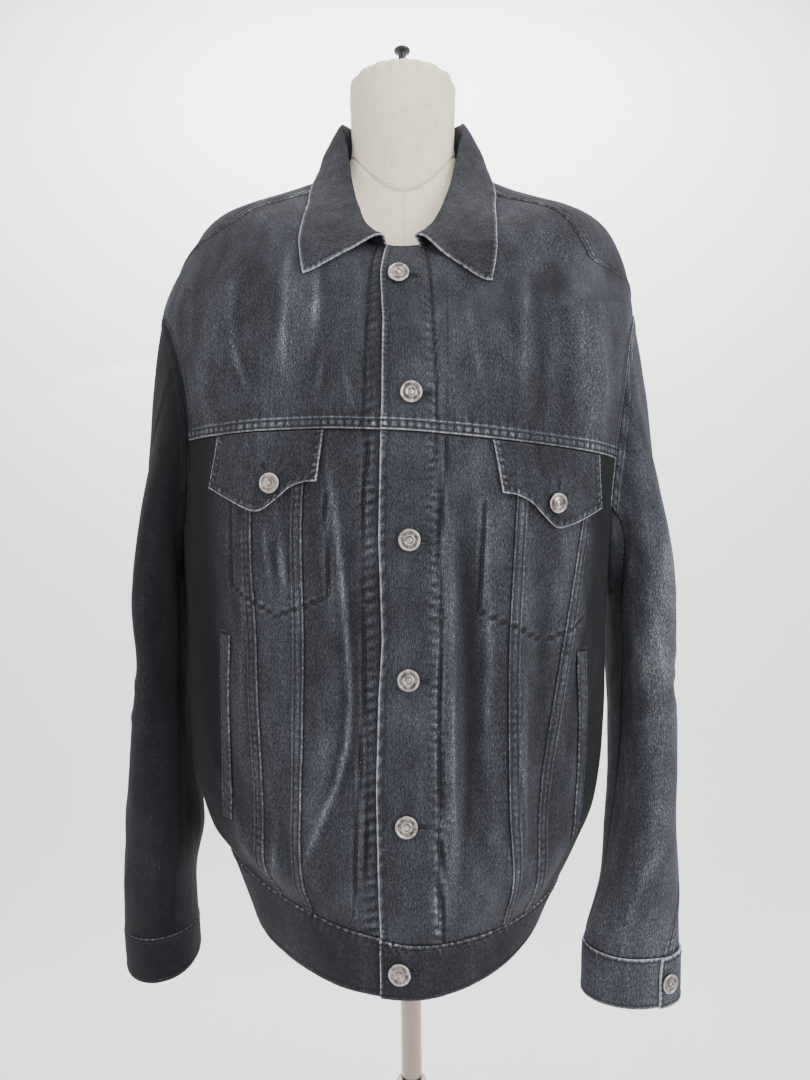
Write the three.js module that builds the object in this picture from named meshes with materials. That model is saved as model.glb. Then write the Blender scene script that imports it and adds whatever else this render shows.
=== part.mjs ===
// An oversized denim trucker jacket, buttoned on a limbless dress form with a steel stand. Millimetres,
// +Z up, front of the jacket towards -Y, the wearer's left at +X. The pole stands on the origin.
import * as THREE from "three";

// Driving sizes
const DATUM = 1100; // height of the middle front button above the floor, from which the tables below count
const CLOTH = 1.6; // thickness of a panel of denim
const SEAM_GAP = 0.3; // clear space between two panels at their seam
const OVERLAP_STEP = 2.8; // how far the right front runs behind the left one
const LAP_EDGE = -9; // angle of the left front's free edge, which laps over the right front
const FACING_EDGE = 11.5; // angle of the left facing's stitch line, under which the right front ends
const FACING_RISE = 0.7; // how far the doubled facing stands out
const UNDERARM = -26; // lowest point of the armholes
const SHOULDER_TIP = 236; // highest point of the armholes
const ARMHOLE_SPREAD = 22; // angle from the side line to the armhole's front and back
const FRONT_YOKE_SEAM = 86;
const BACK_YOKE_SEAM = 153;
const BAND_SEAM = -334;
const HEM = -380;
const NECKLINE = 386;
const CUFF_SEAM = -402;
const CUFF_HEM = -449;
const CUFF_CLOTH = 2.2; // thickness of the doubled cuffs
const BUTTON_RADIUS = 10;
const BUTTON_HEIGHT = 3.2;
const POLE_RADIUS = 11;
const LOWER_POLE_RADIUS = 14.5;
const LOWER_POLE_TOP = 524; // height above the floor where the lower pole begins
const FOOT_RADIUS = 190;
const FOOT_HEIGHT = 14;
const STEM_HEIGHT = 24; // of the knob's steel stem above the dress form

const DENIM = { color: 0x2b2d33, roughness: 0.92, metalness: 0 };
const LINEN = { color: 0xe2d6c0, roughness: 0.85, metalness: 0 };
const STEEL = { color: 0xb9bbbd, roughness: 0.28, metalness: 1 };
const BUTTON_METAL = { color: 0xb9aca4, roughness: 0.35, metalness: 1 };
const KNOB_BLACK = { color: 0x17171a, roughness: 0.4, metalness: 0 };

// Rows with named columns.
function table(names, rows) {
  const keys = names.split(" ");
  return rows.map((row) => Object.fromEntries(keys.map((key, i) => [key, row[i]])));
}

// The levels of the jacket's body, from the hem up. A level crosses the side at height v and the front
// and back centre at heights front and back. left and right are its reach to -X and +X, fore and aft to
// -Y and +Y. lean is how far the -X side rises and the +X side drops, and the powers square its corners
// at the front left, front right and back.
const BODY_LEVELS = table("v front back lean left right fore aft cornerL cornerR cornerB", [
  [-380, -400, -378, -1, 162, 138, 160, 142, 1.75, 1.75, 2.1],
  [-334, -352, -330, 15, 189, 158, 162, 152, 1.6, 1.6, 2.1],
  [-300, -316, -297, 15, 208, 173, 164, 164, 1.8, 1.8, 2.15],
  [-250, -262, -248, 14, 221, 193, 163, 170, 2.0, 2.0, 2.2],
  [-170, -177, -168, 12, 228, 202, 160, 172, 2.15, 2.2, 2.3],
  [-90, -92, -88, 12, 228, 204, 158, 171, 2.2, 2.3, 2.3],
  [-20, -16, -18, 12, 231, 208, 158, 168, 2.25, 2.35, 2.35],
  [40, 46, 42, 12, 233, 213, 158, 164, 2.3, 2.45, 2.35],
  [95, 104, 98, 11, 236, 220, 156, 160, 2.3, 2.6, 2.35],
  [150, 136, 152, 8, 243, 229, 153, 154, 2.3, 2.6, 2.3],
  [200, 164, 200, 5, 248, 233, 149, 147, 2.3, 2.5, 2.3],
  [236, 185, 234, 2, 250, 236, 145, 139, 2.25, 2.4, 2.25],
  [300, 222, 296, 2, 220, 222, 136, 122, 2.2, 2.3, 2.2],
  [337, 246, 341, 1, 188, 190, 128, 103, 2.15, 2.2, 2.15],
  [366, 262, 373, 1, 118, 117, 118, 82, 2.1, 2.1, 2.1],
  [386, 272, 394, 0, 76, 76, 110, 62, 2.0, 2.0, 2.0],
]);

// Folds of the body: a straight soft ridge or trough from one place to another, a place being an angle
// and a height v.
const BODY_FOLDS = table("name fromAngle fromV toAngle toV width depth", [
  ["under placket upper", -24, 40, -22, -120, 16, 4],
  ["under placket lower", -22, -120, -34, -300, 17, 5],
  ["beside the placket", 19, 20, 22, -260, 17, -9],
  ["placket edge", 12, 0, 13, -270, 10, 2],
  ["inner seam left", 34, -60, 34, -290, 20, 3],
  ["outer trough left", 43, 20, 42, -250, 18, -5],
  ["right pocket", -46, 70, -44, -60, 20, 4],
  ["right welt", -64, -60, -58, -240, 20, -6],
  ["right blouse", -62, -270, -40, -310, 20, 5],
  ["left blouse", 60, -250, 44, -310, 18, 4],
  ["right chest ridge", -36, 280, -40, 140, 20, 5],
  ["right chest trough", -25, 290, -27, 130, 18, -4],
  ["right arm ridge", -56, 270, -56, 120, 18, 4],
  ["left chest trough", 42, 250, 46, 110, 24, -5],
  ["left arm ridge", 56, 280, 56, 100, 18, 7],
  ["back centre", 176, 120, 184, -260, 26, -7],
  ["back ridge left", 148, 60, 156, -240, 24, 6],
  ["back ridge right", 216, 40, 206, -250, 24, 6],
  ["back side left", 116, 40, 124, -220, 22, -6],
  ["back side right", 244, 20, 236, -220, 22, -6],
]);

// Where the two seams of each front run, as angles from the centre front on the -X and the +X side.
const FRONT_SEAMS = table("v innerRight outerRight innerLeft outerLeft", [
  [-380, 34, 48, 35, 50],
  [-300, 34, 47, 34, 45],
  [-230, 32.5, 45, 31, 42],
  [-100, 32, 46, 31, 48.5],
  [0, 32, 46, 33, 53.5],
  [95, 30, 43, 34, 56],
]);
const BACK_SEAM = 152; // angle of the back's two seams

// Where the shoulder seams run forward of the side line: from height from on, and fully so from height
// to on.
const SHOULDER_SEAMS = {
  "-1": { angle: 62, from: 250, to: 335 },
  1: { angle: 60, from: 236, to: 286 },
};

// The hanging sleeves, from below the underarm down: centre x and y, reach sideways and reach fore and
// aft. rise is how far a level lies above its v, and tilt how far its front drops.
const SLEEVE_RIGHT = table("v x y across deep corner rise tilt", [
  [-70, -256, 4, 20.5, 88, 2.5, 0, 0],
  [-130, -256.5, 4, 21.5, 84, 2.4, 0, 0],
  [-190, -258, 2, 24, 78, 2.3, 0, 0],
  [-250, -259, 0, 30, 68, 2.1, 0, 0],
  [-300, -258, -2, 36, 60, 2.0, 0, 0],
  [-350, -264, -3, 34, 54, 2.0, 0, 0],
  [-402, -263, -4, 36, 46, 2.0, 3, 0],
  [-449, -261, -5, 35.5, 43, 2.0, 15, 10],
]);
const SLEEVE_LEFT = table("v x y across deep corner rise tilt", [
  [-70, 242.5, 0, 25.5, 88, 2.5, 0, 0],
  [-130, 242.5, -10, 25.5, 84, 2.4, 0, 0],
  [-190, 242, -18, 26, 78, 2.3, 0, 0],
  [-250, 239, -26, 27, 70, 2.2, 0, 0],
  [-300, 235, -35, 31, 62, 2.1, 0, 0],
  [-350, 231, -45, 36, 52, 2.0, 0, 0],
  [-402, 220, -55, 45.5, 38, 2.0, 0, 0],
  [-449, 217.5, -57, 47, 36, 2.0, 0, 0],
]);

// Folds of the sleeves. turn counts eighths of the way round, from the outside over the front.
const SLEEVE_FOLDS_RIGHT = table("name fromTurn fromV toTurn toV width depth", [
  ["front ridge", 1.4, 120, 1.2, -120, 22, 4],
  ["elbow trough", 0.6, -60, 2.2, -150, 24, -4],
  ["forearm ridge", 1.8, -200, 1.2, -360, 22, 3],
  ["outer trough", 7.2, 60, 7.0, -240, 24, -5],
  ["back elbow", 5.4, -80, 6.4, -160, 24, -4],
]);
const SLEEVE_FOLDS_LEFT = table("name fromTurn fromV toTurn toV width depth", [
  ["front crease", 1.7, 180, 1.9, -180, 22, 3],
  ["cap crease", 2.4, 170, 2.6, 60, 22, -3],
  ["elbow trough", 1.0, -110, 2.4, -190, 24, -4],
  ["vent crease", 1.0, -240, 1.1, -380, 20, 3],
  ["back elbow", 5.8, -60, 6.6, -170, 24, -4],
]);

// The dress form's levels, with the columns of the body's.
const FORM_LEVELS = table("v front back lean left right fore aft cornerL cornerR cornerB", [
  [-318, -318, -318, 0, 128, 112, 92, 96, 2.1, 2.1, 2.2],
  [-306, -306, -306, 0, 142, 126, 104, 108, 2.1, 2.1, 2.2],
  [-240, -240, -240, 0, 162, 154, 116, 118, 2.1, 2.1, 2.2],
  [-170, -170, -170, 0, 158, 156, 110, 112, 2.1, 2.1, 2.2],
  [-60, -60, -60, 0, 124, 124, 94, 90, 2.1, 2.1, 2.1],
  [60, 60, 60, 0, 150, 150, 122, 104, 2.2, 2.2, 2.2],
  [150, 130, 150, 0, 166, 166, 124, 112, 2.2, 2.2, 2.2],
  [240, 176, 232, 0, 180, 180, 112, 110, 2.2, 2.2, 2.2],
  [300, 212, 290, 0, 182, 182, 100, 96, 2.2, 2.2, 2.2],
  [330, 238, 325, 1, 164, 165, 90, 80, 2.1, 2.1, 2.1],
  [363.9, 262, 360, 1, 118, 118, 80, 66, 2.1, 2.1, 2.1],
  [381, 300, 388, 0, 72, 72, 64, 53, 2.0, 2.0, 2.0],
  [405, 350, 412, 0, 56, 56, 54, 50, 2.0, 2.0, 2.0],
  [436, 420, 440, 0, 55, 55, 52, 50, 2.0, 2.0, 2.0],
  [472, 471, 473, 0, 56, 56, 53, 51, 2.0, 2.0, 2.0],
  [483, 483, 483, 0, 54, 54, 51, 49, 2.0, 2.0, 2.0],
  [488, 488, 488, 0, 47, 47, 44, 43, 2.0, 2.0, 2.0],
]);

// The collar, from the front round one side to the centre back: an angle of the neckline, where the
// collar rolls over, and the angle and height of the body under the edge of its fall.
const COLLAR_STATIONS = table("angle rollX rollY rollZ edgeAngle edgeV", [
  [8, 17, -121, 281, 33, 288],
  [17, 26, -108, 291, 36.5, 320],
  [28, 34, -94, 304, 40, 346],
  [42, 42, -75, 328, 48, 364],
  [58, 50, -53, 360, 61, 373],
  [75, 58, -28, 404, 76, 378.5],
  [90, 64, -2, 440, 90, 380.5],
  [112, 63, 28, 456, 112, 379.5],
  [135, 50, 49, 459, 135, 377],
  [158, 26, 60, 460, 158, 376],
  [180, 0, 63, 461, 180, 375],
]);
const COLLAR_SHIFT = -5; // how far the collar's front ends sit towards -X
const COLLAR_TURN = -2.4; // and by what angle its points do
const COLLAR_SAG = { "-1": 5, 1: 11 }; // how far the front edge of the fall sags below a straight line
const COLLAR_FOOT = 2.1; // how far the foot of the stand lies above the yokes' surface

// The chest pocket flaps: the drop of the lower edge below the upper one across the flap, from its inner
// end.
const FLAP_DROPS = table("share drop", [
  [0, 42],
  [0.13, 43],
  [0.26, 48],
  [0.38, 58],
  [0.52, 68],
  [0.64, 65],
  [0.76, 59],
  [0.88, 53],
  [1, 46],
]);
const FLAPS = {
  "-1": { inner: 25.5, outer: 55.5, innerFoot: 27, outerFoot: 58, button: 40, buttonV: 40 },
  1: { inner: 26.5, outer: 57.5, innerFoot: 29, outerFoot: 60.5, button: 44.5, buttonV: 38 },
};
const FLAP_TOP = FRONT_YOKE_SEAM - 2;
const WELT = {
  angleTop: 56, angleFoot: 58.5, top: -95, foot: -266,
  wide: 3.4, riseLeft: 0.75, riseRight: 1.6,
};

// The front buttons from the collar down: height, and angle from the centre front.
const FRONT_BUTTONS = table("name z angle", [
  ["neck", 240, -2.4],
  ["chest", 129, 1.8],
  ["middle", 0, 0.7],
  ["waist", -122, 0],
  ["lower", -248, -1],
  ["band", -376, -3.4],
]);

const radians = THREE.MathUtils.degToRad;
const lerp = THREE.MathUtils.lerp;
const clamp = THREE.MathUtils.clamp;
const smoothstep = THREE.MathUtils.smoothstep;

// The value of a table's column at a place, on a smooth curve through its rows.
function column(rows, place, key, at) {
  const last = rows.length - 1;
  let i = 0;
  while (i < last - 1 && rows[i + 1][place] < at) i += 1;
  const slope = (a, b) => (rows[b][key] - rows[a][key]) / (rows[b][place] - rows[a][place]);
  const tangent = (k) => slope(Math.max(k - 1, 0), Math.min(k + 1, last));
  const span = rows[i + 1][place] - rows[i][place];
  const t = (at - rows[i][place]) / span;
  if (t <= 0) return rows[i][key] + tangent(i) * t * span;
  if (t >= 1) return rows[i + 1][key] + tangent(i + 1) * (t - 1) * span;
  const a = tangent(i) * span;
  const b = tangent(i + 1) * span;
  const rise = rows[i + 1][key] - rows[i][key];
  return rows[i][key] + t * (a + t * (3 * rise - 2 * a - b + t * (a + b - 2 * rise)));
}

// A point of a body that levels describe, at an angle from the centre front (towards +X) and a side
// height v.
function levelPoint(levels, angle, v) {
  const at = (key) => column(levels, "v", key, v);
  const sin = Math.sin(radians(angle));
  const cos = Math.cos(radians(angle));
  const sideways = sin < 0 ? at("left") : at("right");
  const forth = cos > 0 ? at("fore") : at("aft");
  const corner = cos <= 0 ? at("cornerB") : sin < 0 ? at("cornerL") : at("cornerR");
  const reach = (Math.abs(cos / forth) ** corner + Math.abs(sin / sideways) ** corner) ** (-1 / corner);
  const middle = cos > 0 ? at("front") : at("back");
  const z = v + (middle - v) * cos * cos - at("lean") * sin;
  return new THREE.Vector3(reach * sin, -reach * cos, z + DATUM);
}

// How far a point lies from a fold's line, both in millimetres, faded at the line's ends.
function foldHeight(fold, from, to, x, y) {
  const along = to.clone().sub(from);
  const length = along.length();
  const t = clamp(((x - from.x) * along.x + (y - from.y) * along.y) / length ** 2, 0, 1);
  const distance = Math.hypot(x - lerp(from.x, to.x, t), y - lerp(from.y, to.y, t));
  return fold.depth * Math.exp(-((distance / fold.width) ** 2)) * Math.sin(Math.PI * lerp(0.12, 0.88, t));
}

const GIRTH_PER_DEGREE = 3.4; // millimetres round the body for one degree

function bodyFolds(angle, v) {
  let height = 0;
  for (const fold of BODY_FOLDS) {
    const turned = fold.fromAngle > 90 && angle < 0 ? angle + 360 : angle;
    const from = new THREE.Vector2(fold.fromAngle * GIRTH_PER_DEGREE, fold.fromV);
    const to = new THREE.Vector2(fold.toAngle * GIRTH_PER_DEGREE, fold.toV);
    height += foldHeight(fold, from, to, turned * GIRTH_PER_DEGREE, v);
  }
  return height;
}

// The outward normal of a surface given as a function of two numbers.
function surfaceNormal(surface, a, b, stepA, stepB) {
  const alongA = surface(a + stepA, b).sub(surface(a - stepA, b));
  const alongB = surface(a, b + stepB).sub(surface(a, b - stepB));
  return alongA.cross(alongB).normalize();
}

const plainBody = (angle, v) => levelPoint(BODY_LEVELS, angle, v);

function bodyPoint(angle, v) {
  const lift = bodyFolds(angle, v);
  return plainBody(angle, v).addScaledVector(surfaceNormal(plainBody, angle, v, 1, 2), lift);
}

const bodyNormal = (angle, v) => surfaceNormal(bodyPoint, angle, v, 0.8, 2);

// The rows of the body's grid. Those of the armhole lie closer together at its ends.
const LOWER_ARMHOLE = [UNDERARM, -20, -4, 17, 40, 63, FRONT_YOKE_SEAM];
const ARMHOLE_ROWS = [...LOWER_ARMHOLE, 119, BACK_YOKE_SEAM, 181, 207, 227, SHOULDER_TIP];
const BELOW_ROWS = Array.from({ length: 15 }, (_, i) => lerp(BAND_SEAM, UNDERARM, i / 15));
const ABOVE_ROWS = [258, 281, 304, 325, 343, 358, 370, 379, NECKLINE];
const ROWS = [...BELOW_ROWS, ...ARMHOLE_ROWS, ...ABOVE_ROWS];
const BAND_ROWS = [HEM, (HEM + BAND_SEAM) / 2, BAND_SEAM];

// How far the armhole reaches from the side line at a height, as an angle.
function armholeSpread(v) {
  if (v <= UNDERARM || v >= SHOULDER_TIP) return 0;
  const middle = (UNDERARM + SHOULDER_TIP) / 2;
  const cosine = (v - middle) / (SHOULDER_TIP - middle);
  return ARMHOLE_SPREAD * (1 - cosine * cosine) ** 0.4;
}

// The angle at which the shoulder seam runs at a height above the armhole.
function shoulderSeam(side, v) {
  const { angle, from, to } = SHOULDER_SEAMS[side];
  return lerp(90, angle, smoothstep(v, from, to));
}

// The lines of the front's grid on one side, each with the number of cells up to the next.
function frontLines(side, v) {
  const at = (key) => column(FRONT_SEAMS, "v", key, clamp(v, HEM, FRONT_YOKE_SEAM));
  const left = side > 0;
  const last = v > SHOULDER_TIP ? shoulderSeam(side, v) : 90 - armholeSpread(v);
  return [
    { angle: left ? LAP_EDGE : -FACING_EDGE, cells: 1 },
    { angle: 0, cells: 1 },
    { angle: left ? FACING_EDGE : -LAP_EDGE, cells: 2 },
    { angle: Math.min(at(left ? "innerLeft" : "innerRight"), last - 28), cells: 2 },
    { angle: Math.min(at(left ? "outerLeft" : "outerRight"), last - 14), cells: 4 },
    { angle: last, cells: 0 },
  ];
}
const FRONT_COLUMNS = 10;
const INNER_SEAM = 4; // the column of the inner seam, and the next two of the outer seam and the side
const OUTER_SEAM = 6;

function backLines(v, side = 1) {
  return [
    { angle: v > SHOULDER_TIP ? shoulderSeam(side, v) : 90 + armholeSpread(v), cells: 8 },
    { angle: BACK_SEAM, cells: 2 },
    { angle: 180, cells: 0 },
  ];
}
const BACK_COLUMNS = 10;
const BACK_SEAM_COLUMN = 8;

// The angles of all the columns of a set of lines.
function columnAngles(lines) {
  const angles = [];
  lines.slice(0, -1).forEach((line, i) => {
    for (let k = 0; k < line.cells; k += 1) angles.push(lerp(line.angle, lines[i + 1].angle, k / line.cells));
  });
  angles.push(lines.at(-1).angle);
  return angles;
}

// How far the surface stands out of or behind the body's own: the right front runs under the left one,
// and the facings are doubled cloth.
function frontLift(side, angle) {
  const facing = FACING_RISE * (1 - smoothstep(angle, FACING_EDGE - 3, FACING_EDGE));
  if (side > 0) return facing;
  const hidden = FACING_RISE * smoothstep(angle, -FACING_EDGE, 0) - OVERLAP_STEP;
  return lerp(hidden, 0, smoothstep(angle, 10, 24));
}

// A node of the front's or back's grid: its point, and the normal along which the cloth has its thickness.
function frontNode(side, angle, v) {
  const normal = bodyNormal(side * angle, v);
  const point = bodyPoint(side * angle, v).addScaledVector(normal, frontLift(side, angle));
  return { point, normal };
}

function backNode(side, angle, v) {
  return { point: bodyPoint(side * angle, v), normal: bodyNormal(side * angle, v) };
}

// The ring of nodes round an armhole, from the shoulder tip down the front and up the back.
function armholeRing(side) {
  const front = ARMHOLE_ROWS.map((v) => frontNode(side, 90 - armholeSpread(v), v)).reverse();
  const back = ARMHOLE_ROWS.slice(1, -1).map((v) => backNode(side, 90 + armholeSpread(v), v));
  return [...front, ...back];
}
const RING = 2 * (ARMHOLE_ROWS.length - 1);

// A point of the hanging sleeve. turn is the share of the way round, from the outside over the front.
function hangingPoint(side, turn, v) {
  const rows = (side < 0 ? SLEEVE_RIGHT : SLEEVE_LEFT).map((row) => ({ ...row, v: -row.v }));
  const at = (key) => column(rows, "v", key, -v);
  const sin = Math.sin(2 * Math.PI * turn);
  const cos = Math.cos(2 * Math.PI * turn);
  const corner = at("corner");
  const sideways = Math.abs(cos / at("across")) ** corner;
  const forth = Math.abs(sin / at("deep")) ** corner;
  const reach = (sideways + forth) ** (-1 / corner);
  const z = v + at("rise") - at("tilt") * sin;
  return new THREE.Vector3(at("x") + side * reach * cos, at("y") - reach * sin, z + DATUM);
}

const SLEEVE_TOP = -70; // height of the first level ring of the hanging sleeve
const CAP_STEPS = 7;
const SLEEVE_STEPS = 11;
// Ring places by which the left sleeve's seams twist forward on the way to the cuff
const VENT_TURN_LEFT = 4.7;

// The twist of a sleeve's seams at a height, as a share of a turn.
function twist(side, v) {
  return side > 0 ? (VENT_TURN_LEFT / RING) * smoothstep(SLEEVE_TOP - v, 0, SLEEVE_TOP - CUFF_SEAM) : 0;
}

// The directions in which the sleeve leaves the armhole: over the shoulder, to the front and back, and
// under the arm.
function sleeveStart(side, ring) {
  const turn = (2 * Math.PI * ring) / RING;
  const top = Math.max(Math.cos(turn), 0) ** 2;
  const under = Math.max(-Math.cos(turn), 0) ** 2;
  const flank = 1 - top - under;
  const forward = Math.sin(turn);
  const outward = 52 * top + 80 * flank + 20 * under;
  return new THREE.Vector3(side * outward, -12 * forward * flank, -300 * top - 60 * flank - 40 * under);
}

// The sleeve's surface: ring places round it, and steps down it, first over the cap and then down the arm.
function plainSleeve(side, start, ring, step) {
  if (step > CAP_STEPS) {
    const v = lerp(SLEEVE_TOP, CUFF_SEAM, (step - CAP_STEPS) / SLEEVE_STEPS);
    return hangingPoint(side, ring / RING + twist(side, v), v);
  }
  const low = Math.floor(ring);
  const at = (k) => start[(k + RING) % RING].point;
  const begin = at(low).clone().lerp(at(low + 1), ring - low);
  const end = hangingPoint(side, ring / RING, SLEEVE_TOP);
  const drop = begin.distanceTo(end);
  const t = step / CAP_STEPS;
  const leaving = sleeveStart(side, ring);
  const arriving = new THREE.Vector3(0, 0, -Math.min(1.2 * drop, 260));
  const point = begin.multiplyScalar(1 - 3 * t ** 2 + 2 * t ** 3);
  point.addScaledVector(leaving, t - 2 * t ** 2 + t ** 3);
  point.addScaledVector(end, 3 * t ** 2 - 2 * t ** 3);
  return point.addScaledVector(arriving, t ** 3 - t ** 2);
}

const SLEEVE_GIRTH = 420;

function sleeveFolds(side, ring, v) {
  let height = 0;
  for (const fold of side < 0 ? SLEEVE_FOLDS_RIGHT : SLEEVE_FOLDS_LEFT) {
    const eighth = SLEEVE_GIRTH / 8;
    const from = new THREE.Vector2(fold.fromTurn * eighth, fold.fromV);
    const to = new THREE.Vector2(fold.toTurn * eighth, fold.toV);
    height += foldHeight(fold, from, to, (ring / RING) * SLEEVE_GIRTH, v);
  }
  return height;
}

// One closed thin wall between an inner and an outer copy of a grid of nodes. A closed grid joins its
// last column to its first. Each edge that is a seam is drawn in by half the seam's gap.
function wall(grid, { closed = false, seams = {}, thickness = CLOTH } = {}) {
  const rows = grid.length;
  const columns = grid[0].length;
  const nodes = grid.map((row) => row.map(({ point, normal }) => ({ point: point.clone(), normal })));
  const draw = (row, col, towardRow, towardCol) => {
    const from = grid[row][col];
    const along = from.retreat ?? grid[towardRow][towardCol].point.clone().sub(from.point).normalize();
    nodes[row][col].point.addScaledVector(along, SEAM_GAP / 2 + 0.02);
  };
  for (let c = 0; c < columns; c += 1) {
    if (seams.bottom) draw(0, c, 1, c);
    if (seams.top) draw(rows - 1, c, rows - 2, c);
  }
  for (let r = 0; r < rows; r += 1) {
    if (seams.left) draw(r, 0, r, 1);
    if (seams.right) draw(r, columns - 1, r, columns - 2);
  }
  const positions = [];
  for (const side of [0.5, -0.5]) {
    for (const row of nodes) {
      for (const { point, normal } of row) {
        positions.push(...point.clone().addScaledVector(normal, side * thickness));
      }
    }
  }
  const outer = (r, c) => r * columns + (c % columns);
  const inner = (r, c) => rows * columns + outer(r, c);
  const triangles = [];
  const quad = (a, b, c, d) => triangles.push(a, b, c, a, c, d);
  const spans = closed ? columns : columns - 1;
  for (let r = 0; r < rows - 1; r += 1) {
    for (let c = 0; c < spans; c += 1) {
      quad(outer(r, c), outer(r, c + 1), outer(r + 1, c + 1), outer(r + 1, c));
      quad(inner(r, c + 1), inner(r, c), inner(r + 1, c), inner(r + 1, c + 1));
    }
    if (!closed) {
      quad(outer(r + 1, 0), inner(r + 1, 0), inner(r, 0), outer(r, 0));
      const end = columns - 1;
      quad(inner(r, end), inner(r + 1, end), outer(r + 1, end), outer(r, end));
    }
  }
  for (let c = 0; c < spans; c += 1) {
    quad(outer(0, c), inner(0, c), inner(0, c + 1), outer(0, c + 1));
    quad(inner(rows - 1, c + 1), inner(rows - 1, c), outer(rows - 1, c), outer(rows - 1, c + 1));
  }
  const geometry = new THREE.BufferGeometry();
  geometry.setAttribute("position", new THREE.Float32BufferAttribute(positions, 3));
  geometry.setIndex(triangles);
  return geometry;
}

const object = new THREE.Group();

function addPiece(name, geometry, finish) {
  const mesh = new THREE.Mesh(geometry, new THREE.MeshStandardMaterial(finish));
  mesh.name = name;
  object.add(mesh);
  return mesh;
}

// A grid of nodes from a list of rows and a list of columns. The wearer's right has its columns
// reversed, so that the faces of every panel point outwards.
function nodeGrid(side, rows, firstColumn, lastColumn, lines, node) {
  return rows.map((v) => {
    const angles = columnAngles(lines(v, side));
    const row = angles.map((angle) => node(side, angle, v));
    const front = node === frontNode;
    const rim = row.at(front ? -1 : 0);
    const seam = armholeSeam(side, v, front);
    if (seam) Object.assign(rim, { normal: seam.normal, retreat: seam.body });
    const part = row.slice(firstColumn, lastColumn + 1);
    return side > 0 ? part : part.reverse();
  });
}

// Which way a panel's seams lie, given from the centre front or back outwards, once its columns are in
// order.
function seamsFor(side, { bottom = true, top = true, near = true, far = true }) {
  return side > 0 ? { bottom, top, left: near, right: far } : { bottom, top, left: far, right: near };
}

const rowsBetween = (low, high) => ROWS.filter((v) => v >= low && v <= high);
const sideName = (side) => (side > 0 ? "left" : "right");

function addFront(side) {
  const lines = (v) => frontLines(side, v);
  const body = rowsBetween(BAND_SEAM, FRONT_YOKE_SEAM);
  const name = sideName(side);
  const panel = (piece, rows, first, last, seams) => {
    const grid = nodeGrid(side, rows, first, last, lines, frontNode);
    addPiece(`${piece}_${name}`, wall(grid, { seams: seamsFor(side, seams) }), DENIM);
  };
  panel("front_centre", body, 0, INNER_SEAM, { near: false });
  panel("front_middle", body, INNER_SEAM, OUTER_SEAM, {});
  panel("front_side", body, OUTER_SEAM, FRONT_COLUMNS, {});
  panel("front_yoke", rowsBetween(FRONT_YOKE_SEAM, NECKLINE), 0, FRONT_COLUMNS, { near: false });
}

function addBack() {
  const body = rowsBetween(BAND_SEAM, BACK_YOKE_SEAM);
  for (const side of [1, -1]) {
    const grid = nodeGrid(side, body, 0, BACK_SEAM_COLUMN, backLines, backNode);
    addPiece(`back_side_${sideName(side)}`, wall(grid, { seams: seamsFor(side, {}) }), DENIM);
  }
  const across = (rows, firstColumn) => {
    const left = nodeGrid(1, rows, firstColumn, BACK_COLUMNS, backLines, backNode);
    const right = nodeGrid(-1, rows, firstColumn, BACK_COLUMNS, backLines, backNode);
    return left.map((row, r) => [...row, ...right[r].slice(1)]);
  };
  const seams = { bottom: true, top: true, left: true, right: true };
  addPiece("back_centre", wall(across(body, BACK_SEAM_COLUMN), { seams }), DENIM);
  addPiece("back_yoke", wall(across(rowsBetween(BACK_YOKE_SEAM, NECKLINE), 0), { seams }), DENIM);
}

// The waistband runs from the right front's hidden edge round the back to the left front's edge, which
// laps over it.
function addWaistband() {
  const grid = BAND_ROWS.map((v) => {
    const right = columnAngles(frontLines(-1, v)).map((angle) => frontNode(-1, angle, v));
    const left = columnAngles(frontLines(1, v)).map((angle) => frontNode(1, angle, v));
    const back = columnAngles(backLines(v));
    const backLeft = back.slice(1).map((angle) => backNode(1, angle, v));
    const backRight = back.slice(1, -1).map((angle) => backNode(-1, angle, v)).reverse();
    return [...left, ...backLeft, ...backRight, ...right.reverse()];
  });
  addPiece("waistband", wall(grid, { seams: { top: true } }), DENIM);
}

const UNDER_SLEEVE = { front: 8, back: 22 }; // ring places of the sleeve's two seams

// The sleeve's rings of nodes, ring place by ring place, each from the armhole down to the cuff's seam.
function sleeveRings(side) {
  const start = armholeRing(side);
  const surface = (ring, step) => plainSleeve(side, start, (ring + RING) % RING, step);
  const last = CAP_STEPS + SLEEVE_STEPS;
  return Array.from({ length: RING + 1 }, (_, ring) => {
    const nodes = [];
    for (let step = 0; step <= last; step += 1) {
      const point = surface(ring, step);
      const across = surface(ring + 0.5, step).sub(surface(ring - 0.5, step));
      const down = surface(ring, step + 0.1).sub(surface(ring, Math.max(step - 0.1, 0)));
      const normal = across.cross(down).multiplyScalar(side).normalize();
      const fade = smoothstep(step, 0, 2) * (1 - smoothstep(step, last - 2, last));
      point.addScaledVector(normal, fade * sleeveFolds(side, ring, point.z - DATUM));
      nodes.push({ point, normal });
    }
    return nodes;
  });
}
const SLEEVES = { 1: sleeveRings(1), "-1": sleeveRings(-1) };

// At the armhole the body's cloth and the sleeve's share one mitred normal, so that their edges meet and
// don't cross.
function mitredNormal(side, ring) {
  const body = armholeRing(side)[ring % RING].normal;
  return body.clone().add(SLEEVES[side][ring][0].normal).normalize();
}

// The way in which the body's cloth and the sleeve's draw back from their seam, square to it and along
// the cloth.
function retreat(side, ring, cloth) {
  const start = armholeRing(side);
  const at = (k) => start[(k + RING) % RING].point;
  const tangent = at(ring + 1).clone().sub(at(ring - 1)).normalize();
  if (cloth === "sleeve") {
    const along = SLEEVES[side][ring % RING][1].point.clone().sub(at(ring));
    return along.addScaledVector(tangent, -along.dot(tangent)).normalize();
  }
  const middle = start.reduce((sum, node) => sum.add(node.point), new THREE.Vector3()).divideScalar(RING);
  const away = tangent.cross(start[ring % RING].normal).normalize();
  return away.multiplyScalar(Math.sign(away.dot(at(ring).clone().sub(middle))));
}

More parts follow.
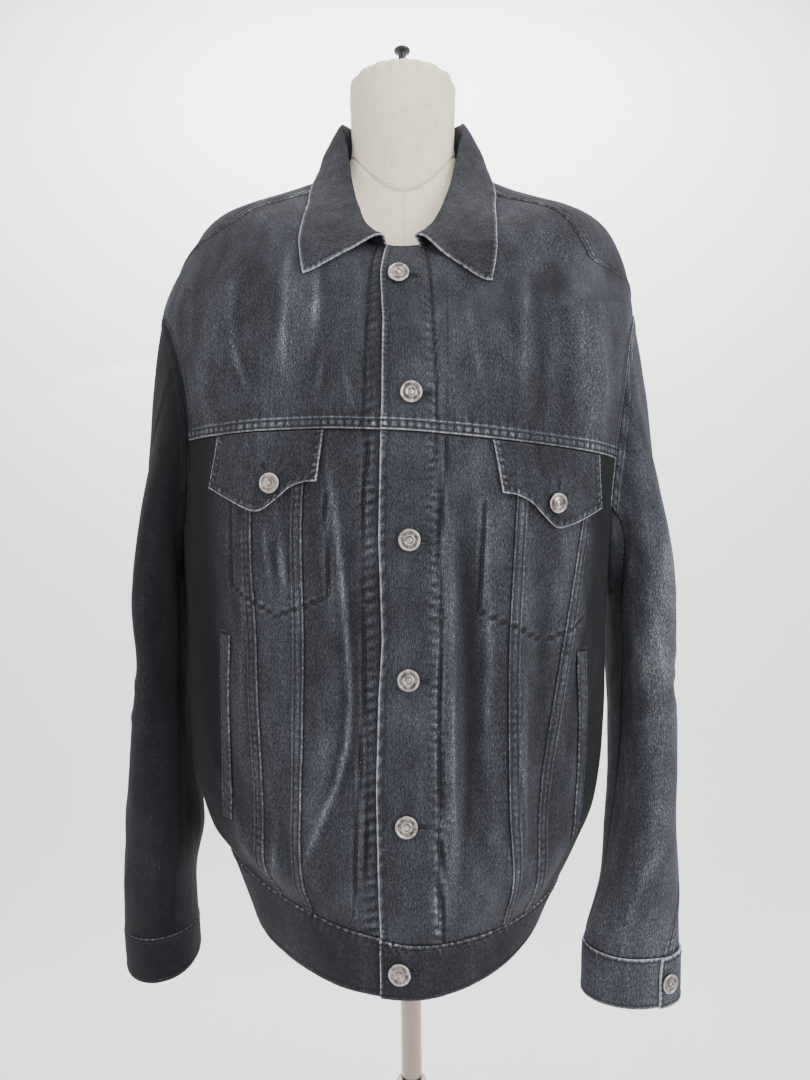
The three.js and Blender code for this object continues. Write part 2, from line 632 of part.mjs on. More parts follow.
const ringPlaces = Array.from({ length: RING + 1 }, (_, ring) => ring);
const SEAMED = Object.fromEntries(
  [1, -1].map((side) => [
    side,
    ringPlaces.map((ring) => ({
      normal: mitredNormal(side, ring),
      body: retreat(side, ring, "body"),
      sleeve: retreat(side, ring, "sleeve"),
    })),
  ]),
);

// The seam's data for the node of the body's grid that lies on the armhole at a height, if there is one.
function armholeSeam(side, v, front) {
  const row = ARMHOLE_ROWS.indexOf(v);
  if (row < 0) return null;
  const steps = ARMHOLE_ROWS.length - 1;
  return SEAMED[side][front ? steps - row : steps + row];
}

function addSleeve(side) {
  const rings = SLEEVES[side].map((nodes, ring) => {
    const { normal, sleeve } = SEAMED[side][ring];
    return nodes.with(0, { point: nodes[0].point, normal, retreat: sleeve });
  });
  const { front, back } = UNDER_SLEEVE;
  const under = rings.slice(front, back + 1);
  const upper = [...rings.slice(back, RING), ...rings.slice(0, front + 1)];
  const seams = { bottom: true, top: true, left: true, right: true };
  const oriented = (strip) => {
    const rows = strip[0].map((_, i) => strip.map((column) => column[i])).reverse();
    return side < 0 ? rows : rows.map((row) => [...row].reverse());
  };
  addPiece(`sleeve_upper_${sideName(side)}`, wall(oriented(upper), { seams }), DENIM);
  addPiece(`sleeve_under_${sideName(side)}`, wall(oriented(under), { seams }), DENIM);
}

// A node of a cuff: ring is a place round the sleeve, and share runs from its seam to its hem.
function cuffNode(side, ring, share, lift) {
  const turn = ring / RING + twist(side, CUFF_SEAM);
  const surface = (a, v) => hangingPoint(side, a, v);
  const v = lerp(CUFF_SEAM, CUFF_HEM, share);
  const normal = surfaceNormal(surface, turn, v, 0.02, 2).multiplyScalar(-side);
  return { point: surface(turn, v).addScaledVector(normal, lift), normal };
}

const CUFF_LAP = 1.4; // ring places by which a cuff's end laps over its start
const LAP_RISE = 2.9;

function cuffLift(place) {
  return LAP_RISE * smoothstep(place, RING - 3, RING - 0.6);
}

function addCuff(side) {
  const places = [...Array.from({ length: RING + 1 }, (_, i) => i), RING + CUFF_LAP];
  const rows = [1, 0.5, 0].map((share) => {
    const row = places.map((place) => cuffNode(side, UNDER_SLEEVE.back + place, share, cuffLift(place)));
    return side < 0 ? row : row.reverse();
  });
  addPiece(`cuff_${sideName(side)}`, wall(rows, { seams: { top: true }, thickness: CUFF_CLOTH }), DENIM);
  const { point, normal } = cuffNode(side, UNDER_SLEEVE.back + RING + 0.6, 0.5, LAP_RISE);
  addButton(`button_cuff_${sideName(side)}`, point, normal, CUFF_CLOTH / 2);
}

// A tack button, turned to stand on a surface: dished, with a raised rim.
function addButton(name, point, normal, below) {
  const profile = [
    [0, 0],
    [BUTTON_RADIUS - 1.2, 0],
    [BUTTON_RADIUS, 1.3],
    [BUTTON_RADIUS - 0.8, BUTTON_HEIGHT],
    [BUTTON_RADIUS - 2.6, BUTTON_HEIGHT - 0.7],
    [0, BUTTON_HEIGHT - 0.7],
  ].map(([x, y]) => new THREE.Vector2(x, y));
  const mesh = addPiece(name, new THREE.LatheGeometry(profile, 14), BUTTON_METAL);
  mesh.quaternion.setFromUnitVectors(new THREE.Vector3(0, 1, 0), normal);
  mesh.position.copy(point).addScaledVector(normal, below + SEAM_GAP);
}

// The height v of the level that crosses an angle at a height z.
function levelAt(angle, z) {
  let low = HEM - 40;
  let high = NECKLINE + 20;
  for (let i = 0; i < 40; i += 1) {
    const middle = (low + high) / 2;
    if (bodyPoint(angle, middle).z - DATUM < z) low = middle;
    else high = middle;
  }
  return (low + high) / 2;
}

function addFrontButtons() {
  for (const { name, z, angle } of FRONT_BUTTONS) {
    const { point, normal } = frontNode(1, angle, levelAt(angle, z));
    addButton(`button_${name}`, point, normal, CLOTH / 2 + 0.1);
  }
}

// A patch of cloth that lies on the body: its nodes are the body's, moved out.
function bodyPatch(angles, heights, lift) {
  return heights.map((heightRow, r) =>
    angles[r].map((angle, c) => {
      const normal = bodyNormal(angle, heightRow[c]);
      return { point: bodyPoint(angle, heightRow[c]).addScaledVector(normal, lift(r, c)), normal };
    }),
  );
}

const FLAP_ROWS = 4;

function addFlap(side) {
  const flap = FLAPS[side];
  const shares = FLAP_DROPS.map((row) => row.share);
  const downs = Array.from({ length: FLAP_ROWS + 1 }, (_, i) => 1 - i / FLAP_ROWS);
  const across = (share, down) =>
    side * lerp(lerp(flap.inner, flap.innerFoot, down), lerp(flap.outer, flap.outerFoot, down), share);
  const angles = downs.map((down) => shares.map((share) => across(share, down)));
  const heights = downs.map((down) => FLAP_DROPS.map((row) => FLAP_TOP - row.drop * down));
  const lift = (r) => CLOTH + 0.75 + 1.6 * downs[r];
  const grid = bodyPatch(angles, heights, lift);
  addPiece(`pocket_flap_${sideName(side)}`, wall(side > 0 ? grid : grid.map((row) => row.reverse())), DENIM);
  const { point, normal } = bodyPatch([[side * flap.button]], [[flap.buttonV]], () => lift(1))[0][0];
  addButton(`button_flap_${sideName(side)}`, point, normal, CLOTH / 2 + 0.5);
}

function addWelt(side) {
  const shares = Array.from({ length: 10 }, (_, i) => i / 9);
  const angles = shares.map((share) => {
    const angle = lerp(WELT.angleFoot, WELT.angleTop, share);
    return [angle - WELT.wide / 2, angle + WELT.wide / 2].map((a) => side * a);
  });
  const heights = shares.map((share) => [0, 0].map(() => lerp(WELT.foot, WELT.top, share)));
  const grid = bodyPatch(angles, heights, () => CLOTH + (side > 0 ? WELT.riseLeft : WELT.riseRight));
  addPiece(`welt_${sideName(side)}`, wall(side > 0 ? grid : grid.map((row) => row.reverse())), DENIM);
}

// A point kept clear of the body: moved straight out from the pole's line where the body is in its way.
function clearOfBody(point, clearance) {
  const angle = THREE.MathUtils.radToDeg(Math.atan2(point.x, -point.y));
  const body = bodyPoint(angle, Math.min(levelAt(angle, point.z - DATUM), NECKLINE));
  const need = Math.hypot(body.x, body.y) + clearance;
  const have = Math.hypot(point.x, point.y);
  if (have < need && point.z - DATUM < 330) point.multiply(new THREE.Vector3(need / have, need / have, 1));
  return point;
}

// The collar's section at one station: up the stand, over the roll and down the fall.
function collarSection(side, station) {
  const fade = side * (1 - smoothstep(station.angle, 10, 90));
  const neck = bodyPoint(side * station.angle, NECKLINE);
  const rollX = side * (station.rollX + fade * COLLAR_SHIFT);
  const roll = new THREE.Vector3(rollX, station.rollY, station.rollZ + DATUM);
  const edgeAngle = side * (station.edgeAngle + fade * COLLAR_TURN);
  const edge = bodyPoint(edgeAngle, station.edgeV).addScaledVector(bodyNormal(edgeAngle, station.edgeV), 3.2);
  const away = edge.clone().sub(roll).setZ(0).normalize();
  const inner = roll.clone().lerp(neck, 0.14).addScaledVector(away, -2.2);
  const outer = roll.clone().lerp(edge, 0.08).addScaledVector(away, 3.4);
  const stand = neck.clone().lerp(roll, 0.5).addScaledVector(away, -1);
  const foot = neck.clone().addScaledVector(bodyNormal(side * station.angle, NECKLINE), COLLAR_FOOT);
  const sag = COLLAR_SAG[side] * (1 - smoothstep(station.angle, 8, 30));
  const fall = [0.3, 0.55, 0.8].map((share) => {
    const point = roll.clone().lerp(edge, share).addScaledVector(away, 7 * Math.sin(Math.PI * share));
    point.z -= sag * Math.sin(Math.PI * share ** 1.4);
    return clearOfBody(point, 4);
  });
  return [foot, stand, inner, roll, outer, ...fall, edge];
}

function addCollar() {
  const fine = [];
  for (let i = 0; i < COLLAR_STATIONS.length - 1; i += 1) {
    for (const t of [0, 0.5]) {
      const at = lerp(i, i + 1, t);
      const rows = COLLAR_STATIONS.map((row, index) => ({ ...row, index }));
      const keys = ["angle", "rollX", "rollY", "rollZ", "edgeAngle", "edgeV"];
      fine.push(Object.fromEntries(keys.map((key) => [key, column(rows, "index", key, at)])));
    }
  }
  fine.push(COLLAR_STATIONS.at(-1));
  const left = fine.map((station) => collarSection(1, station));
  const right = fine.slice(0, -1).map((station) => collarSection(-1, station)).reverse();
  const points = [...left, ...right];
  const rows = points[0].map((_, k) => points.map((section) => section[k]));
  const grid = rows.map((row, r) =>
    row.map((point, c) => {
      const before = row[Math.max(c - 1, 0)];
      const after = row[Math.min(c + 1, row.length - 1)];
      const below = rows[Math.max(r - 1, 0)][c];
      const above = rows[Math.min(r + 1, rows.length - 1)][c];
      const normal = after.clone().sub(before).cross(above.clone().sub(below)).normalize();
      return { point, normal };
    }),
  );
  addPiece("collar", wall(grid, { seams: { bottom: true } }), DENIM);
}

// A closed solid of rings one above the other, each a function of its angle.
function stack(rings, sides) {
  const positions = [];
  const triangles = [];
  for (const ring of rings) {
    for (let k = 0; k < sides; k += 1) positions.push(...ring((360 * k) / sides));
  }
  const at = (r, k) => r * sides + (k % sides);
  for (let r = 0; r < rings.length - 1; r += 1) {
    for (let k = 0; k < sides; k += 1) {
      triangles.push(at(r, k), at(r, k + 1), at(r + 1, k + 1), at(r, k), at(r + 1, k + 1), at(r + 1, k));
    }
  }
  const last = rings.length - 1;
  for (let k = 1; k < sides - 1; k += 1) {
    triangles.push(at(0, 0), at(0, k + 1), at(0, k), at(last, 0), at(last, k), at(last, k + 1));
  }
  const geometry = new THREE.BufferGeometry();
  geometry.setAttribute("position", new THREE.Float32BufferAttribute(positions, 3));
  geometry.setIndex(triangles);
  return geometry;
}

function addForm() {
  const heights = FORM_LEVELS.flatMap((row, i) => {
    const next = FORM_LEVELS[i + 1];
    if (!next) return [row.v];
    const parts = next.v - row.v > 55 ? 2 : 1;
    return Array.from({ length: parts }, (_, k) => lerp(row.v, next.v, k / parts));
  });
  const rings = heights.map((v) => (angle) => levelPoint(FORM_LEVELS, angle, v).toArray());
  addPiece("dress_form", stack(rings, 26), LINEN);
}

// A turned piece on the pole's line, from a profile of radius and height above the floor.
function addTurned(name, profile, finish, segments = 28) {
  const points = profile.map(([radius, z]) => new THREE.Vector2(radius, z));
  const geometry = new THREE.LatheGeometry(points, segments);
  geometry.rotateX(Math.PI / 2);
  addPiece(name, geometry, finish);
}

function addStand() {
  const formFoot = DATUM + FORM_LEVELS[0].v;
  const formTop = DATUM + FORM_LEVELS.at(-1).v;
  const washerFoot = formTop + SEAM_GAP;
  const stemTop = formTop + STEM_HEIGHT;
  const stem = [
    [0, washerFoot], [9, washerFoot], [9, washerFoot + 2.5],
    [5.5, washerFoot + 4], [5.5, stemTop], [0, stemTop],
  ];
  addTurned("knob_base", stem, STEEL, 16);
  const knobProfile = [[0, 0], [4, 0], [4, 7], [8.5, 8.6], [8.5, 10.6], [7, 12], [0, 12]];
  const onStem = ([radius, rise]) => [radius, stemTop + SEAM_GAP + rise];
  addTurned("knob", knobProfile.map(onStem), KNOB_BLACK, 16);
  const flange = formFoot - SEAM_GAP;
  addTurned(
    "pole_upper",
    [
      [0, LOWER_POLE_TOP + SEAM_GAP],
      [POLE_RADIUS, LOWER_POLE_TOP + SEAM_GAP],
      [POLE_RADIUS, flange - 12],
      [32, flange - 6],
      [32, flange],
      [0, flange],
    ],
    STEEL,
  );
  addTurned(
    "pole_lower",
    [
      [0, FOOT_HEIGHT + 10 + SEAM_GAP],
      [LOWER_POLE_RADIUS, FOOT_HEIGHT + 10 + SEAM_GAP],
      [LOWER_POLE_RADIUS, LOWER_POLE_TOP - 42],
      [LOWER_POLE_RADIUS + 3.5, LOWER_POLE_TOP - 38],
      [LOWER_POLE_RADIUS + 3.5, LOWER_POLE_TOP - 6],
      [LOWER_POLE_RADIUS + 1, LOWER_POLE_TOP],
      [0, LOWER_POLE_TOP],
    ],
    STEEL,
  );
  addTurned(
    "foot_plate",
    [
      [0, 0],
      [FOOT_RADIUS - 2, 0],
      [FOOT_RADIUS, 2],
      [FOOT_RADIUS, FOOT_HEIGHT - 4],
      [FOOT_RADIUS - 5, FOOT_HEIGHT],
      [26, FOOT_HEIGHT],
      [22, FOOT_HEIGHT + 10],
      [0, FOOT_HEIGHT + 10],
    ],
    STEEL,
    36,
  );
}

for (const side of [1, -1]) {
  addFront(side);
  addSleeve(side);
  addCuff(side);
  addFlap(side);
  addWelt(side);
}
addBack();
addWaistband();
addCollar();
addFrontButtons();
addForm();
addStand();

export default object;
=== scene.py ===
"""An oversized black denim trucker jacket, buttoned on a linen dress form with a steel stand.

Sizes are in millimetres in the tables and in metres in the scene. Heights in the tables count from DATUM, the
height of the middle front button. Angles count from the centre front and grow towards the wearer's left (+X).
"""

import math
from functools import partial

import bmesh
import bpy
import numpy as np
from mathutils import Matrix, Vector, noise


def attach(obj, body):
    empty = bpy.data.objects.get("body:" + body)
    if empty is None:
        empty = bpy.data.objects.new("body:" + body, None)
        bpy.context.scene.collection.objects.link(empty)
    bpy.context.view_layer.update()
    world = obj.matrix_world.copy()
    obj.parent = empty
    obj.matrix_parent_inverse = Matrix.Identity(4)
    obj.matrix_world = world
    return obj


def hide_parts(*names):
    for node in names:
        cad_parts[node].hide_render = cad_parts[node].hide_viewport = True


bl_info = {
    "name": "Denim Jacket on a Dress Form",
    "version": (1, 0, 0),
    "blender": (4, 5, 0),
    "location": "View3D > Sidebar > Jacket",
    "description": "Builds a washed denim jacket with its sewing, on a dress form",
    "category": "Object",
}

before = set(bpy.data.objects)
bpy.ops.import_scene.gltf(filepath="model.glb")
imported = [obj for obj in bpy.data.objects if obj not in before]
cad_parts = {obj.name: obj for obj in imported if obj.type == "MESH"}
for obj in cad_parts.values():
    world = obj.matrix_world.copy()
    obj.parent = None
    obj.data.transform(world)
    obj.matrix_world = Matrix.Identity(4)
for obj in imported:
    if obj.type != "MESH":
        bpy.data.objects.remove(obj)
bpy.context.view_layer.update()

MM = 0.001
FAR = 1e9  # farther than anything lies
DATUM = 1100.0
RING = 24  # places round an armhole and its sleeve
CAP_STEPS = 7
SLEEVE_STEPS = 11
SLEEVE_TOP = -70.0
CUFF_SEAM = -402.0
CUFF_HEM = -449.0
UNDERARM = -26.0
SHOULDER_TIP = 236.0
ARMHOLE_SPREAD = 22.0
FRONT_YOKE_SEAM = 86.0
BACK_YOKE_SEAM = 153.0
BAND_SEAM = -334.0
HEM = -380.0
NECKLINE = 386.0
FACING_EDGE = 11.5
FACING_RISE = 0.7
OVERLAP_STEP = 2.8
BACK_SEAM = 152.0
UNDER_SLEEVE = (8, 22)
VENT_TURN_LEFT = 4.7
CUFF_LAP = 1.4
LAP_RISE = 2.9
CLOTH = 1.6
SIDES = ((1, "left"), (-1, "right"))
BACK_TURN = 360 - BACK_SEAM
ARMHOLE_ROWS = np.array([-26, -20, -4, 17, 40, 63, 86, 119, 153, 181, 207, 227, 236], float)


def table(columns, *rows):
    """A table's columns by name, each an array down its rows."""
    return {name: np.array([row[i] for row in rows]) for i, name in enumerate(columns.split())}


BODY_LEVELS = table(
    "v front back lean left right fore aft cornerL cornerR cornerB",
    (-380, -400, -378, -1, 162, 138, 160, 142, 1.75, 1.75, 2.1),
    (-334, -352, -330, 15, 189, 158, 162, 152, 1.6, 1.6, 2.1),
    (-300, -316, -297, 15, 208, 173, 164, 164, 1.8, 1.8, 2.15),
    (-250, -262, -248, 14, 221, 193, 163, 170, 2.0, 2.0, 2.2),
    (-170, -177, -168, 12, 228, 202, 160, 172, 2.15, 2.2, 2.3),
    (-90, -92, -88, 12, 228, 204, 158, 171, 2.2, 2.3, 2.3),
    (-20, -16, -18, 12, 231, 208, 158, 168, 2.25, 2.35, 2.35),
    (40, 46, 42, 12, 233, 213, 158, 164, 2.3, 2.45, 2.35),
    (95, 104, 98, 11, 236, 220, 156, 160, 2.3, 2.6, 2.35),
    (150, 136, 152, 8, 243, 229, 153, 154, 2.3, 2.6, 2.3),
    (200, 164, 200, 5, 248, 233, 149, 147, 2.3, 2.5, 2.3),
    (236, 185, 234, 2, 250, 236, 145, 139, 2.25, 2.4, 2.25),
    (300, 222, 296, 2, 220, 222, 136, 122, 2.2, 2.3, 2.2),
    (337, 246, 341, 1, 188, 190, 128, 103, 2.15, 2.2, 2.15),
    (366, 262, 373, 1, 118, 117, 118, 82, 2.1, 2.1, 2.1),
    (386, 272, 394, 0, 76, 76, 110, 62, 2.0, 2.0, 2.0),
)

BODY_FOLDS = table(
    "name fromAngle fromV toAngle toV width depth",
    ("under placket upper", -24, 40, -22, -120, 16, 4),
    ("under placket lower", -22, -120, -34, -300, 17, 5),
    ("beside the placket", 19, 20, 22, -260, 17, -9),
    ("placket edge", 12, 0, 13, -270, 10, 2),
    ("inner seam left", 34, -60, 34, -290, 20, 3),
    ("outer trough left", 43, 20, 42, -250, 18, -5),
    ("right pocket", -46, 70, -44, -60, 20, 4),
    ("right welt", -64, -60, -58, -240, 20, -6),
    ("right blouse", -62, -270, -40, -310, 20, 5),
    ("left blouse", 60, -250, 44, -310, 18, 4),
    ("right chest ridge", -36, 280, -40, 140, 20, 5),
    ("right chest trough", -25, 290, -27, 130, 18, -4),
    ("right arm ridge", -56, 270, -56, 120, 18, 4),
    ("left chest trough", 42, 250, 46, 110, 24, -5),
    ("left arm ridge", 56, 280, 56, 100, 18, 7),
    ("back centre", 176, 120, 184, -260, 26, -7),
    ("back ridge left", 148, 60, 156, -240, 24, 6),
    ("back ridge right", 216, 40, 206, -250, 24, 6),
    ("back side left", 116, 40, 124, -220, 22, -6),
    ("back side right", 244, 20, 236, -220, 22, -6),
)

FRONT_SEAMS = table(
    "v innerRight outerRight innerLeft outerLeft",
    (-380, 34, 48, 35, 50),
    (-300, 34, 47, 34, 45),
    (-230, 32.5, 45, 31, 42),
    (-100, 32, 46, 31, 48.5),
    (0, 32, 46, 33, 53.5),
    (95, 30, 43, 34, 56),
)

SLEEVE_RIGHT = table(
    "v x y across deep corner rise tilt",
    (-70, -256, 4, 20.5, 88, 2.5, 0, 0),
    (-130, -256.5, 4, 21.5, 84, 2.4, 0, 0),
    (-190, -258, 2, 24, 78, 2.3, 0, 0),
    (-250, -259, 0, 30, 68, 2.1, 0, 0),
    (-300, -258, -2, 36, 60, 2.0, 0, 0),
    (-350, -264, -3, 34, 54, 2.0, 0, 0),
    (-402, -263, -4, 36, 46, 2.0, 3, 0),
    (-449, -261, -5, 35.5, 43, 2.0, 15, 10),
)

SLEEVE_LEFT = table(
    "v x y across deep corner rise tilt",
    (-70, 242.5, 0, 25.5, 88, 2.5, 0, 0),
    (-130, 242.5, -10, 25.5, 84, 2.4, 0, 0),
    (-190, 242, -18, 26, 78, 2.3, 0, 0),
    (-250, 239, -26, 27, 70, 2.2, 0, 0),
    (-300, 235, -35, 31, 62, 2.1, 0, 0),
    (-350, 231, -45, 36, 52, 2.0, 0, 0),
    (-402, 220, -55, 45.5, 38, 2.0, 0, 0),
    (-449, 217.5, -57, 47, 36, 2.0, 0, 0),
)

SLEEVE_FOLDS_RIGHT = table(
    "name fromTurn fromV toTurn toV width depth",
    ("front ridge", 1.4, 120, 1.2, -120, 22, 4),
    ("elbow trough", 0.6, -60, 2.2, -150, 24, -4),
    ("forearm ridge", 1.8, -200, 1.2, -360, 22, 3),
    ("outer trough", 7.2, 60, 7.0, -240, 24, -5),
    ("back elbow", 5.4, -80, 6.4, -160, 24, -4),
)

SLEEVE_FOLDS_LEFT = table(
    "name fromTurn fromV toTurn toV width depth",
    ("front crease", 1.7, 180, 1.9, -180, 22, 3),
    ("cap crease", 2.4, 170, 2.6, 60, 22, -3),
    ("elbow trough", 1.0, -110, 2.4, -190, 24, -4),
    ("vent crease", 1.0, -240, 1.1, -380, 20, 3),
    ("back elbow", 5.8, -60, 6.6, -170, 24, -4),
)

FORM_LEVELS = table(
    "v front back lean left right fore aft cornerL cornerR cornerB",
    (-318, -318, -318, 0, 128, 112, 92, 96, 2.1, 2.1, 2.2),
    (-306, -306, -306, 0, 142, 126, 104, 108, 2.1, 2.1, 2.2),
    (-240, -240, -240, 0, 162, 154, 116, 118, 2.1, 2.1, 2.2),
    (-170, -170, -170, 0, 158, 156, 110, 112, 2.1, 2.1, 2.2),
    (-60, -60, -60, 0, 124, 124, 94, 90, 2.1, 2.1, 2.1),
    (60, 60, 60, 0, 150, 150, 122, 104, 2.2, 2.2, 2.2),
    (150, 130, 150, 0, 166, 166, 124, 112, 2.2, 2.2, 2.2),
    (240, 176, 232, 0, 180, 180, 112, 110, 2.2, 2.2, 2.2),
    (300, 212, 290, 0, 182, 182, 100, 96, 2.2, 2.2, 2.2),
    (330, 238, 325, 1, 164, 165, 90, 80, 2.1, 2.1, 2.1),
    (363.9, 262, 360, 1, 118, 118, 80, 66, 2.1, 2.1, 2.1),
    (381, 300, 388, 0, 72, 72, 64, 53, 2.0, 2.0, 2.0),
    (405, 350, 412, 0, 56, 56, 54, 50, 2.0, 2.0, 2.0),
    (436, 420, 440, 0, 55, 55, 52, 50, 2.0, 2.0, 2.0),
    (472, 471, 473, 0, 56, 56, 53, 51, 2.0, 2.0, 2.0),
    (483, 483, 483, 0, 54, 54, 51, 49, 2.0, 2.0, 2.0),
    (488, 488, 488, 0, 47, 47, 44, 43, 2.0, 2.0, 2.0),
)

COLLAR_STATIONS = table(
    "angle rollX rollY rollZ edgeAngle edgeV",
    (8, 17, -121, 281, 33, 288),
    (17, 26, -108, 291, 36.5, 320),
    (28, 34, -94, 304, 40, 346),
    (42, 42, -75, 328, 48, 364),
    (58, 50, -53, 360, 61, 373),
    (75, 58, -28, 404, 76, 378.5),
    (90, 64, -2, 440, 90, 380.5),
    (112, 63, 28, 456, 112, 379.5),
    (135, 50, 49, 459, 135, 377),
    (158, 26, 60, 460, 158, 376),
    (180, 0, 63, 461, 180, 375),
)

FLAP_DROPS = table(
    "share drop",
    (0, 42),
    (0.13, 43),
    (0.26, 48),
    (0.38, 58),
    (0.52, 68),
    (0.64, 65),
    (0.76, 59),
    (0.88, 53),
    (1, 46),
)

FRONT_BUTTONS = table(
    "name z angle",
    ("neck", 240, -2.4),
    ("chest", 129, 1.8),
    ("middle", 0, 0.7),
    ("waist", -122, 0),
    ("lower", -248, -1),
    ("band", -376, -3.4),
)

# The shoulder seams by side: their angle, and the heights between which they turn to it.
SHOULDER_SEAMS = {1: (60, 236, 286), -1: (62, 250, 335)}
COLLAR_SHIFT = -5.0
COLLAR_TURN = -2.4
COLLAR_FOOT = 2.1
COLLAR_SAG = {1: 11.0, -1: 5.0}  # how far the front edge of the fall sags below a straight line
FLAPS = {
    -1: {"inner": 25.5, "outer": 55.5, "innerFoot": 27.0, "outerFoot": 58.0, "button": 40.0, "buttonV": 40.0},
    1: {"inner": 26.5, "outer": 57.5, "innerFoot": 29.0, "outerFoot": 60.5, "button": 44.5, "buttonV": 38.0},
}
FLAP_WIDTH = 92.0
WELT = {"angleTop": 56.0, "angleFoot": 58.5, "top": -95.0, "foot": -266.0, "wide": 3.4}

# The bartacks: angle, height and whether it stands upright.
BARTACKS = [
    (27.0, 78.0, True), (56.0, 76.0, True), (-27.0, 78.0, True), (-55.0, 78.0, True),
    (10.5, -66.0, False), (-13.6, -60.0, False), (57.5, -92.0, False), (-57.5, -92.0, False),
]

# Rows of stitches over the fronts, as places (angle, height): the pocket bags' outlines and the facings.
FRONT_ROWS = [
    [(-52.5, 28), (-53.0, -50), (-48.5, -60), (-40.0, -74), (-31.5, -64), (-24.0, -54), (-25.0, 32)],
    [(24.0, 34), (23.0, -60), (33.5, -72), (43.0, -84), (51.5, -74), (57.0, -64)],
    [(15.5, 290), (13.0, 94)],
    [(13.0, 82), (10.5, -2), (10.5, -64), (9.5, -134), (8.5, -320)],
    [(-12.5, 300), (-11.0, 98)],
    [(-11.4, 82), (-13.4, 28), (-13.6, -58), (-14.0, -138), (-16.5, -262), (-18.0, -320)],
]

# Fine creases of the body: width, depth, and the places (angle, height) that each runs through.
CREASES = [
    (3.6, 3.0, [(-24.5, 68), (-21.5, 0), (-20, -50), (-19, -88),
                (-18, -140), (-19, -176), (-22, -210), (-33.5, -290)]),
    (6, 1.8, [(-42, 322), (-38, 232), (-37.5, 150)]),
    (5, 1.5, [(-54, 254), (-51, 178), (-46, 120)]),
    (5, 1.4, [(-33.5, 326), (-30.5, 268), (-30, 190)]),
    (4, 1.1, [(-27, 200), (-28, 110)]),
    (4, 1.0, [(-20, 170), (-17, 108)]),
    (7, -1.8, [(43, 216), (40, 110)]),
    (7, 1.5, [(42, 300), (38.5, 228), (35, 130)]),
    (6, 1.2, [(22, 270), (24, 140)]),
    (4, 1.4, [(-39, 22), (-38, -26), (-35.5, -62)]),
    (3.5, 1.1, [(-41.5, 22), (-42, -20), (-40.5, -66)]),
    (3.5, 0.9, [(-37, -10), (-38, -64)]),
    (4, 1.1, [(-49, -20), (-50, -90), (-51, -170)]),
    (7, -2.4, [(17.5, -2), (19.5, -68), (20, -134), (18.5, -216), (16, -296)]),
    (4.5, 1.5, [(14, -18), (13.5, -132), (13, -280)]),
    (5, 1.3, [(24, 20), (26, -90), (24, -200)]),
    (5, 1.3, [(36, -90), (35, -190), (38, -290)]),
    (5, 1.4, [(56, -20), (50, -110), (47, -180)]),
    (6, -1.4, [(60, -40), (54, -130), (50, -230)]),
    (5, 1.3, [(-62, -225), (-52, -288)]),
    (5, 1.3, [(-67, -190), (-60, -262), (-48, -312)]),
    (5, 1.2, [(-40, -240), (-45, -312)]),
    (5, 1.2, [(30, -250), (36, -318)]),
    (6, 1.8, [(170, 110), (172, -60), (166, -250)]),
    (6, 1.6, [(196, 60), (192, -120), (200, -270)]),
    (5, 1.4, [(150, -20), (158, -200)]),
    (7, -1.8, [(130, 120), (118, 0), (112, -150)]),
    (7, -1.8, [(228, 120), (240, 0), (246, -150)]),
    (6, 1.4, [(160, 340), (158, 200)]),
    (6, 1.4, [(205, 330), (208, 190)]),
    (6, 1.3, [(120, 320), (126, 190)]),
    (6, 1.3, [(240, 320), (236, 190)]),
]


def smoothstep(value, low, high):
    t = np.clip((value - low) / (high - low), 0.0, 1.0)
    return t * t * (3 - 2 * t)


def lerp(a, b, t):
    return a + (b - a) * t


def bell(distance, width):
    return np.exp(-((distance / width) ** 2))


def read(rows, place, at):
    """All of a table's columns at a place, on a smooth curve through its rows."""
    x = rows[place].astype(float)
    last = len(x) - 1
    at = np.asarray(at, float)
    i = np.clip(np.searchsorted(x, at, side="left") - 1, 0, last - 1)
    order = np.arange(last + 1)
    before, after = np.maximum(order - 1, 0), np.minimum(order + 1, last)
    span = x[i + 1] - x[i]
    t = (at - x[i]) / span
    inside = np.clip(t, 0, 1)
    found = {}
    for name, y in rows.items():
        if name in (place, "name"):
            continue
        tangent = (y[after] - y[before]) / (x[after] - x[before])
        a, b = tangent[i] * span, tangent[i + 1] * span
        rise = y[i + 1] - y[i]
        value = y[i] + inside * (a + inside * (3 * rise - 2 * a - b + inside * (a + b - 2 * rise)))
        found[name] = value + np.where(t < 0, a * t, 0) + np.where(t > 1, b * (t - 1), 0)
    return found


def level_point(levels, angle, v):
    """Points of a body that levels describe, at angles and side heights."""
    row = read(levels, "v", v)
    sin, cos = np.sin(np.radians(angle)), np.cos(np.radians(angle))
    sideways = np.where(sin < 0, row["left"], row["right"])
    forth = np.where(cos > 0, row["fore"], row["aft"])
    corner = np.where(cos <= 0, row["cornerB"], np.where(sin < 0, row["cornerL"], row["cornerR"]))
    reach = (np.abs(cos / forth) ** corner + np.abs(sin / sideways) ** corner) ** (-1 / corner)
    middle = np.where(cos > 0, row["front"], row["back"])
    z = v + (middle - v) * cos * cos - row["lean"] * sin
    return np.stack([reach * sin, -reach * cos, z + DATUM], axis=-1)


def line_distance(x, y, start, end):
    """How far points lie from a straight line, and how far along it they are."""
    dx, dy = end[0] - start[0], end[1] - start[1]
    along = np.clip(((x - start[0]) * dx + (y - start[1]) * dy) / (dx * dx + dy * dy), 0, 1)
    return np.hypot(x - start[0] - dx * along, y - start[1] - dy * along), along


def fold_height(x, y, start, end, width, depth):
    distance, along = line_distance(x, y, start, end)
    return depth * bell(distance, width) * np.sin(math.pi * (0.12 + 0.76 * along))


GIRTH_PER_DEGREE = 3.4


